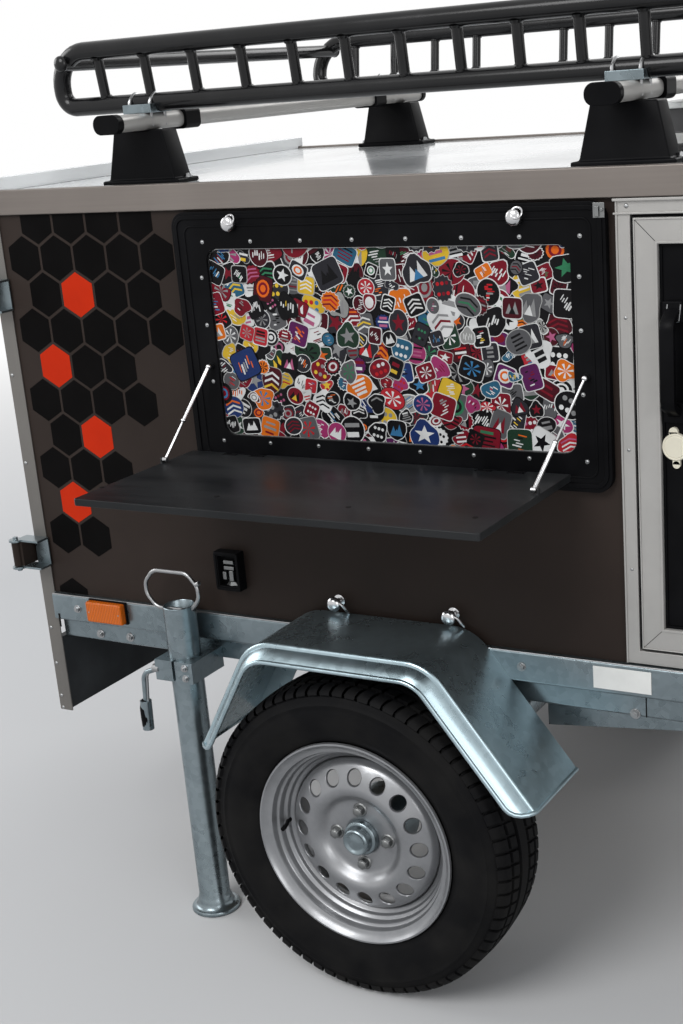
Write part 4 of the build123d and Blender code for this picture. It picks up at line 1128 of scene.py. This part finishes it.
def door_handle():
    """Bow handle on two feet, with thin bright zinc lines along its edges at the upper end."""
    x, _, z = span("door_handle")
    middle = sum(x) / 2
    grip = bmesh.new()
    for foot in inset(z, 15):
        slab(grip, x, (DOOR_Y, DOOR_Y - 11), (foot - 15, foot + 15))
    bow = [(middle, DOOR_Y - 6, z[0] + 14), (middle, DOOR_Y - 34, z[0] + 30),
           (middle, DOOR_Y - 34, z[1] - 30), (middle, DOOR_Y - 6, z[1] - 14)]
    section = [(-11, -5), (-8, -6.5), (8, -6.5), (11, -5), (11, 4), (8, 6), (-8, 6), (-11, 4)]
    swept(grip, section, frames_along(bent(bow, 16), (1, 0, 0)))
    fitted("door_handle_bow", grip, "black_plastic", "side_door", bevel=0.0016, segments=3,
           smooth=30, replaces=("door_handle",))
    edges = [[(side, DOOR_Y - 12, z[1] - 28), (side + 3, DOOR_Y - 11.5, z[1] - 4)]
             for side in inset(x, 5)]
    edges.append([(side, DOOR_Y - 12, z[1] - 29) for side in inset(x, 4)])
    built("handle_edges", "black_plastic", [(tubed, edge, 0.9, 6) for edge in edges], "side_door",
          material=ZINC)


def lock_cover():
    """Round cover over the lock, with a tongue above and below."""
    x, _, (foot, _) = span("key_cover")
    spot = Vector((sum(x) / 2, DOOR_Y, foot + 33))
    cover = [(0, 0), (20.4, 0), (21, 1), (21, 6), (20, 7.6), (18.2, 8), (17.6, 7.2), (16.8, 7.2),
             (16.2, 7.9), (0, 8)]
    shapes = [(spun, cover, 40, Matrix.Translation(spot) @ FACE_ON)]
    for shift, reach, half in ((-3, 23, 7), (1, -27, 6)):
        x, z = spot.x + shift, spot.z + reach
        shapes += [(slab, (x - half, x + half), (DOOR_Y, DOOR_Y - 6), (spot.z + copysign(12, reach), z)),
                   (disc, (x, DOOR_Y, z), OUT, half, 6, 20)]
    built("lock_cover", "cream", shapes, "side_door", bevel=0.0008, smooth=30,
          replaces=("key_cover",))


# Piece: chassis fixings
def chassis_fixings():
    """Bolts and rivets of the rails and posts, the rails' joint lines and a bright wire along their top
    edge.
    """
    bolts = [(hex_bolt, (x, LOW_RAIL_Y, z), OUT, 11, 9) for x, z in (
        (-670, 519), (-597, 520), (433, 509), (560, 526), (880, 526), (1160, 526))]
    bolts += [(hex_bolt, (x, RAIL_Y, 575), OUT, 10, 8) for x in (-700, 245, 640, 980)]
    built("chassis_bolts", "chrome", bolts, pair=True, material=ZINC, bevel=0.0005)
    post_y = span("rear_posts")[Y][LOW]
    rivets = [(PANEL_X[0] + 5, z) for z in (352, 378, 448, 524, 690, 860, 1030, 1200, 1300)]
    rivets += [(PANEL_X[1] - 12, z) for z in (650, 800, 960, 1120, 1280)]
    built("post_rivets", "galvanised", [(dome, (x, post_y, z), OUT, 3.4, 0.6) for x, z in rivets],
          pair=True, material=ZINC)
    # The joint lines are near-black strips: painted shade in the rails' joints.
    built("rail_seams", "galvanised", [
        (slab, (-752, -748), (RAIL_Y, RAIL_Y - 0.8), (533, 560)),
        (slab, (451, 453), (LOW_RAIL_Y, LOW_RAIL_Y - 0.6), (505, 547))], pair=True, material=SEAM_SHADOW)
    # Bright zinc wire along each rail's top edge: a painted highlight of the rounded edge catching
    # light.
    lip = [(x, RAIL_Y + 1.6, 600.4) for x in (PANEL_X[0] + 30, PANEL_X[1] - 2)]
    built("rail_top_highlight", "galvanised", [(tubed, lip, 1.6, 8)], pair=True, material=ZINC)


def prop_stand(side):
    """Round tube with an open top, dished foot, wire loop and the loop's stub."""
    rides = {"body": "stand_" + side, "left": side == "left"}
    tube = [(0, 0), (44, 0), (46.6, 2), (46.6, 6), (45, 8.6), (40, 9.2), (36, 13), (33.5, 20),
            (32, 28), (PROP_R, 31), (PROP_R, PROP_TOP - 1), (29, PROP_TOP), (27.4, PROP_TOP),
            (26.6, PROP_TOP - 1), (26.6, 470), (0, 470)]
    built("stand_" + side + "_tube", "galvanised", [(spun, tube, 48, Matrix.Translation(PROP))],
          smooth=40, replaces=("prop_stand_" + side,), **rides)
    rear = [(-38, 616), (-59, 640), (-59, 664), (-38, 688)]
    ring = [(LOOP_X + x, PROP.y, z) for x, z in rear + [(-x, z) for x, z in rear[::-1]]]
    stub = [(LOOP_X + 56, PROP.y, 668), (LOOP_X + 64, PROP.y, 672)]
    built("stand_" + side + "_loop", "galvanised", [
        (tubed, bent(ring, 24, closed=True), 3.8, 12, True), (tubed, stub, 4.6, 10)],
        material=ZINC, smooth=50, **rides)


def stand_clamps():
    """Lever rods with their pivot, black grip and the clamp's screws."""
    x, z = PROP.x, CLAMP_Z
    front = PROP.y - PROP_R - 9
    rods = []
    for shift in (-3.5, 3.5):
        path = [(x - 40, front + 6, z), (x - 70 + shift, front + 4, z - 10),
                (x - 79 + shift, front + 6, z - 84)]
        rods.append((tubed, bent(path, 20), 2.6, 8))
    rods.append((disc, (x - 36, front + 6, z), (-1, 0, 0), 8, 14, 18))
    built("clamp_levers", "chrome", rods, pair=True, material=ZINC, smooth=45)
    grip = [(0, 0), (8, 1), (11, 8), (11.6, 24), (11.4, 44), (9, 56), (6, 61), (0, 61)]
    built("clamp_grips", "black_plastic", [
        (spun, grip, 20, Matrix.Translation((x - 82, front + 6, z - 129)))], pair=True, smooth=40)
    built("clamp_screws", "chrome", [(hex_bolt, (x + 26, front, z + rise), OUT, 9, 7)
                                     for rise in (-10, 10)], pair=True, material=ZINC, bevel=0.0005)


def outlet_fittings():
    """Switch and plug inside the outlet box, and the box's rim."""
    back = WALL_Y - 6.4
    inside = bmesh.new()
    for z in (704, 693):
        slab(inside, (-338, -316), (back, back - 7), (z - 3.5, z + 3.5))
    slab(inside, (-341, -333), (back, back - 8), (671, 686))
    slab(inside, (-326, -317), (back, back - 9), (669, 689))
    spot = Vector((-324, back - 4, 663.5))
    foot = bmesh.ops.create_cone(inside, cap_ends=True, segments=4, radius1=15, radius2=7, depth=9,
                                 matrix=Matrix.Translation(spot))["verts"]
    bmesh.ops.scale(inside, vec=(1, 0.45, 1), verts=foot, space=Matrix.Translation(-spot))
    fitted("outlet_switch", inside, "chrome", bevel=0.0012, material=BOLT_STEEL)
    built("outlet_rim", "black_plastic", [
        (outline, (-352, -300), (653, 725), 5, WALL_Y - 20, 5, 2)], bevel=0.0008)


# Piece: lamps
def marker_lamps():
    """Side markers: lens on a thin black base with two screws."""
    x, (y, _), z = span("side_markers")
    built("marker_bases", "black_plastic", [
        (slab, inset(x, -1.5), (RAIL_Y, RAIL_Y - 4), inset(z, -1.5))], pair=True, bevel=0.0012)
    built("marker_lenses", "amber", [(slab, inset(x, 0.5), (RAIL_Y - 3, y), inset(z, 0.5))],
          pair=True, bevel=0.004, segments=4, replaces=("side_markers",))
    built("marker_screws", "amber", [(dome, (spot, y + 0.4, sum(z) / 2), OUT, 2.6, 0.2)
                                     for spot in inset(x, 8)], pair=True, material=ZINC)


def rear_lamps():
    """Rear lamps: black tray with a red, an amber and a clear lens."""
    (x0, x1), (y0, _), z = span("rear_lamps")
    y1 = y0 + 180
    built("lamp_trays", "black_plastic", [(slab, (x1, x1 - 14), (y0, y1), z)], pair=True,
          bevel=0.004, segments=3)
    for name, near, far, slot, material, replaces in (
            ("lamp_red", y0 + 4, y0 + 92, "red_lens", None, ("rear_lamps",)),
            ("lamp_amber", y0 + 94, y0 + 142, "amber", None, ()),
            ("lamp_clear", y0 + 144, y1 - 4, "plate", CLEAR_LENS, ())):
        built(name, slot, [(slab, (x1 - 12, x0), (near, far), inset(z, 4))], pair=True,
              bevel=0.006, segments=4, material=material, replaces=replaces)


# Piece: table, pegs and drawbar
def pegs():
    """Round-headed pegs under the hatch with a sprung tongue at the side."""
    knob = [(0, 0), (11, 0), (11, 3), (6.4, 5), (6, 16), (9, 17.5), (13, 20), (13.4, 23),
            (11.6, 27), (7, 29.4), (0, 30)]
    peg_x, _, peg_z = span("tie_hooks")
    z = sum(peg_z) / 2
    shapes = []
    for x in inset(peg_x, 13):
        tongue = [(x + 6, WALL_Y - 22, z + 4), (x + 17, WALL_Y - 23, z + 1),
                  (x + 22, WALL_Y - 20, z - 8), (x + 24, WALL_Y - 14, z - 16)]
        shapes += [(spun, knob, 28, Matrix.Translation((x, WALL_Y, z)) @ FACE_ON),
                   (tubed, bent(tongue, 6, 4), 2.6, 8)]
    built("pegs", "chrome", shapes, smooth=40, replaces=("tie_hooks",))


def table_fittings():
    """Near-black discs near the table's outer edge, painted shade where its holes are, and its hinge
    pins.
    """
    top = span("table_leaf")[Z][HIGH]
    holes = ((-336, -835), (-112, -834), (122, -834), (328, -835))
    built("table_holes", "table_top", [(disc, (x, y, top - 0.2), UP, 4.4, 0.5, 16)
                                       for x, y in holes], "table", material=SEAM_SHADOW)
    built("table_pins", "chrome", [(tubed, [(x - 41, -560, 908), (x + 41, -560, 908)], 2.2, 10)
                                   for x in (-250, 236)], material=ZINC)


def drawbar_bolts():
    """Bolts of the coupling, and those under the drawbar's plates."""
    bolts = [(hex_bolt, (x, y, 512), UP, 13, 11) for x in (2085, 2120) for y in (-18, 18)]
    bolts += [(hex_bolt, (x, hand * y, 500), (0, 0, -1), 13, 11)
              for x, y in ((312, 422), (742, 327), (1187, 229)) for hand in (-1, 1)]
    built("drawbar_bolts", "chrome", bolts, material=ZINC, bevel=0.0006)


BEVELS = {"table_leaf": 0.0018, "rack_feet": 0.003, "roof_edge": 0.002, "coupling_head": 0.003,
          "rear_header": 0.003, "roof_vent": 0.0025, "crossbar_caps": 0.003, "prop_clamp_right": 0.002,
          "prop_clamp_left": 0.002, "coupling_lever": 0.003, "side_panel_right": 0.0004,
          "side_panel_left": 0.0004, "blank_plate": 0.0006, "stay_rear": 0.0003,
          "stay_front": 0.0003, "hatch_frame": 0.0015}
# The rear posts take the finish with painted shade.
MATERIALS = {"roof_vent": VENT_SKIN, "rear_posts": POST_SKIN_SHADED}

mudguards()
for side in ("right", "left"):
    tyre(side)
    steel_wheel(side)
    wheel_fixings(side)
    prop_stand(side)
for piece in (rack_basket, rack_fittings, honeycomb, collage, hatch_fittings, door_trim,
              door_handle, lock_cover, chassis_fixings, stand_clamps, outlet_fittings,
              marker_lamps, rear_lamps, pegs, table_fittings, drawbar_bolts):
    piece()
for node, source in frame["nodes"].items():
    if not source.hide_render:
        dressed(node, BEVELS.get(node, 0.001), MATERIALS.get(node))


STUDIO_FADE = (3.2, 8.0)    # metres from the trailer over which the floor turns white
WHITE = (1.0, 1.0, 1.0, 1.0)
AIM = Vector((0, 0, 0.7))   # what the lamps point at, in metres
LAMPS = (("key", (-1.5, -5.5, 5.5), 4.0, 300.0), ("side", (-6.5, -1.0, 3.2), 3.5, 110.0),
         ("fill", (5.5, -4.5, 3.0), 4.0, 120.0), ("back", (1.0, 6.0, 5.0), 4.0, 160.0))


def pale_floor():
    """Floor that fades to white."""
    f = Finish("studio_floor", (0.55, 0.55, 0.55), 0.9)
    x, y = f.axis(X), f.axis(Y)
    faded = f.ramp((x * x + y * y).power(0.5), *STUDIO_FADE) * f.seen()
    white = f.node("ShaderNodeEmission", inputs={"Color": WHITE, "Strength": 1.0})
    f.show(faded, Value(f, f.shader.outputs[0]), white, "Material Output")
    bm = bmesh.new()
    bmesh.ops.create_grid(bm, x_segments=1, y_segments=1, size=30.0)
    mesh = bpy.data.meshes.new("floor")
    bm.to_mesh(mesh)
    bm.free()
    mesh.materials.append(f.material)
    floor = bpy.data.objects.new("floor", mesh)
    bpy.context.scene.collection.objects.link(floor)


def studio_light():
    """Dim sky that shows as white, and four soft lamps."""
    world = bpy.data.worlds.new("sky")
    bpy.context.scene.world = world
    world.use_nodes = True
    w = Nodes(world.node_tree)
    sky = w.tree.nodes["Background"]
    w.join(sky.inputs["Color"], (0.78, 0.82, 0.88, 1.0))
    w.join(sky.inputs["Strength"], 0.55)
    white = w.node("ShaderNodeBackground", inputs={"Color": WHITE})
    w.show(w.seen(), Value(w, sky.outputs[0]), white, "World Output")
    for name, where, size, power in LAMPS:
        light = bpy.data.lights.new(name, "AREA")
        light.shape = "DISK"
        light.size = size
        light.energy = power
        lamp = bpy.data.objects.new(name, light)
        lamp.location = where
        lamp.rotation_euler = (AIM - lamp.location).to_track_quat("-Z", "Y").to_euler()
        bpy.context.scene.collection.objects.link(lamp)


def camera():
    """Camera solved from the body's edges and the wheel in the photograph."""
    yaw, pitch, roll = radians(30.08), radians(18.48), radians(-4.34)
    image_long_side = 1024
    focal_pixels = 1522.9
    offset_pixels = (60.6, 71.1)
    ahead = Vector((-sin(yaw) * cos(pitch), cos(yaw) * cos(pitch), -sin(pitch)))
    across = Vector((cos(yaw), sin(yaw), 0))
    above = across.cross(ahead)
    right = cos(roll) * across + sin(roll) * above
    up = -sin(roll) * across + cos(roll) * above
    optics = bpy.data.cameras.new("camera")
    optics.sensor_fit = "AUTO"
    optics.sensor_width = 36.0
    optics.lens = focal_pixels / image_long_side * optics.sensor_width
    optics.shift_x = -offset_pixels[0] / image_long_side
    optics.shift_y = offset_pixels[1] / image_long_side
    optics.clip_end = 200.0
    view = bpy.data.objects.new("camera", optics)
    turn = Matrix((right, up, -ahead)).transposed()
    spot = HOME + MM * Vector((1253, -2648, 1515))
    view.matrix_world = Matrix.Translation(spot) @ turn.to_4x4()
    bpy.context.scene.collection.objects.link(view)
    bpy.context.scene.camera = view


pale_floor()
studio_light()
camera()
bpy.context.scene.view_settings.view_transform = "Standard"
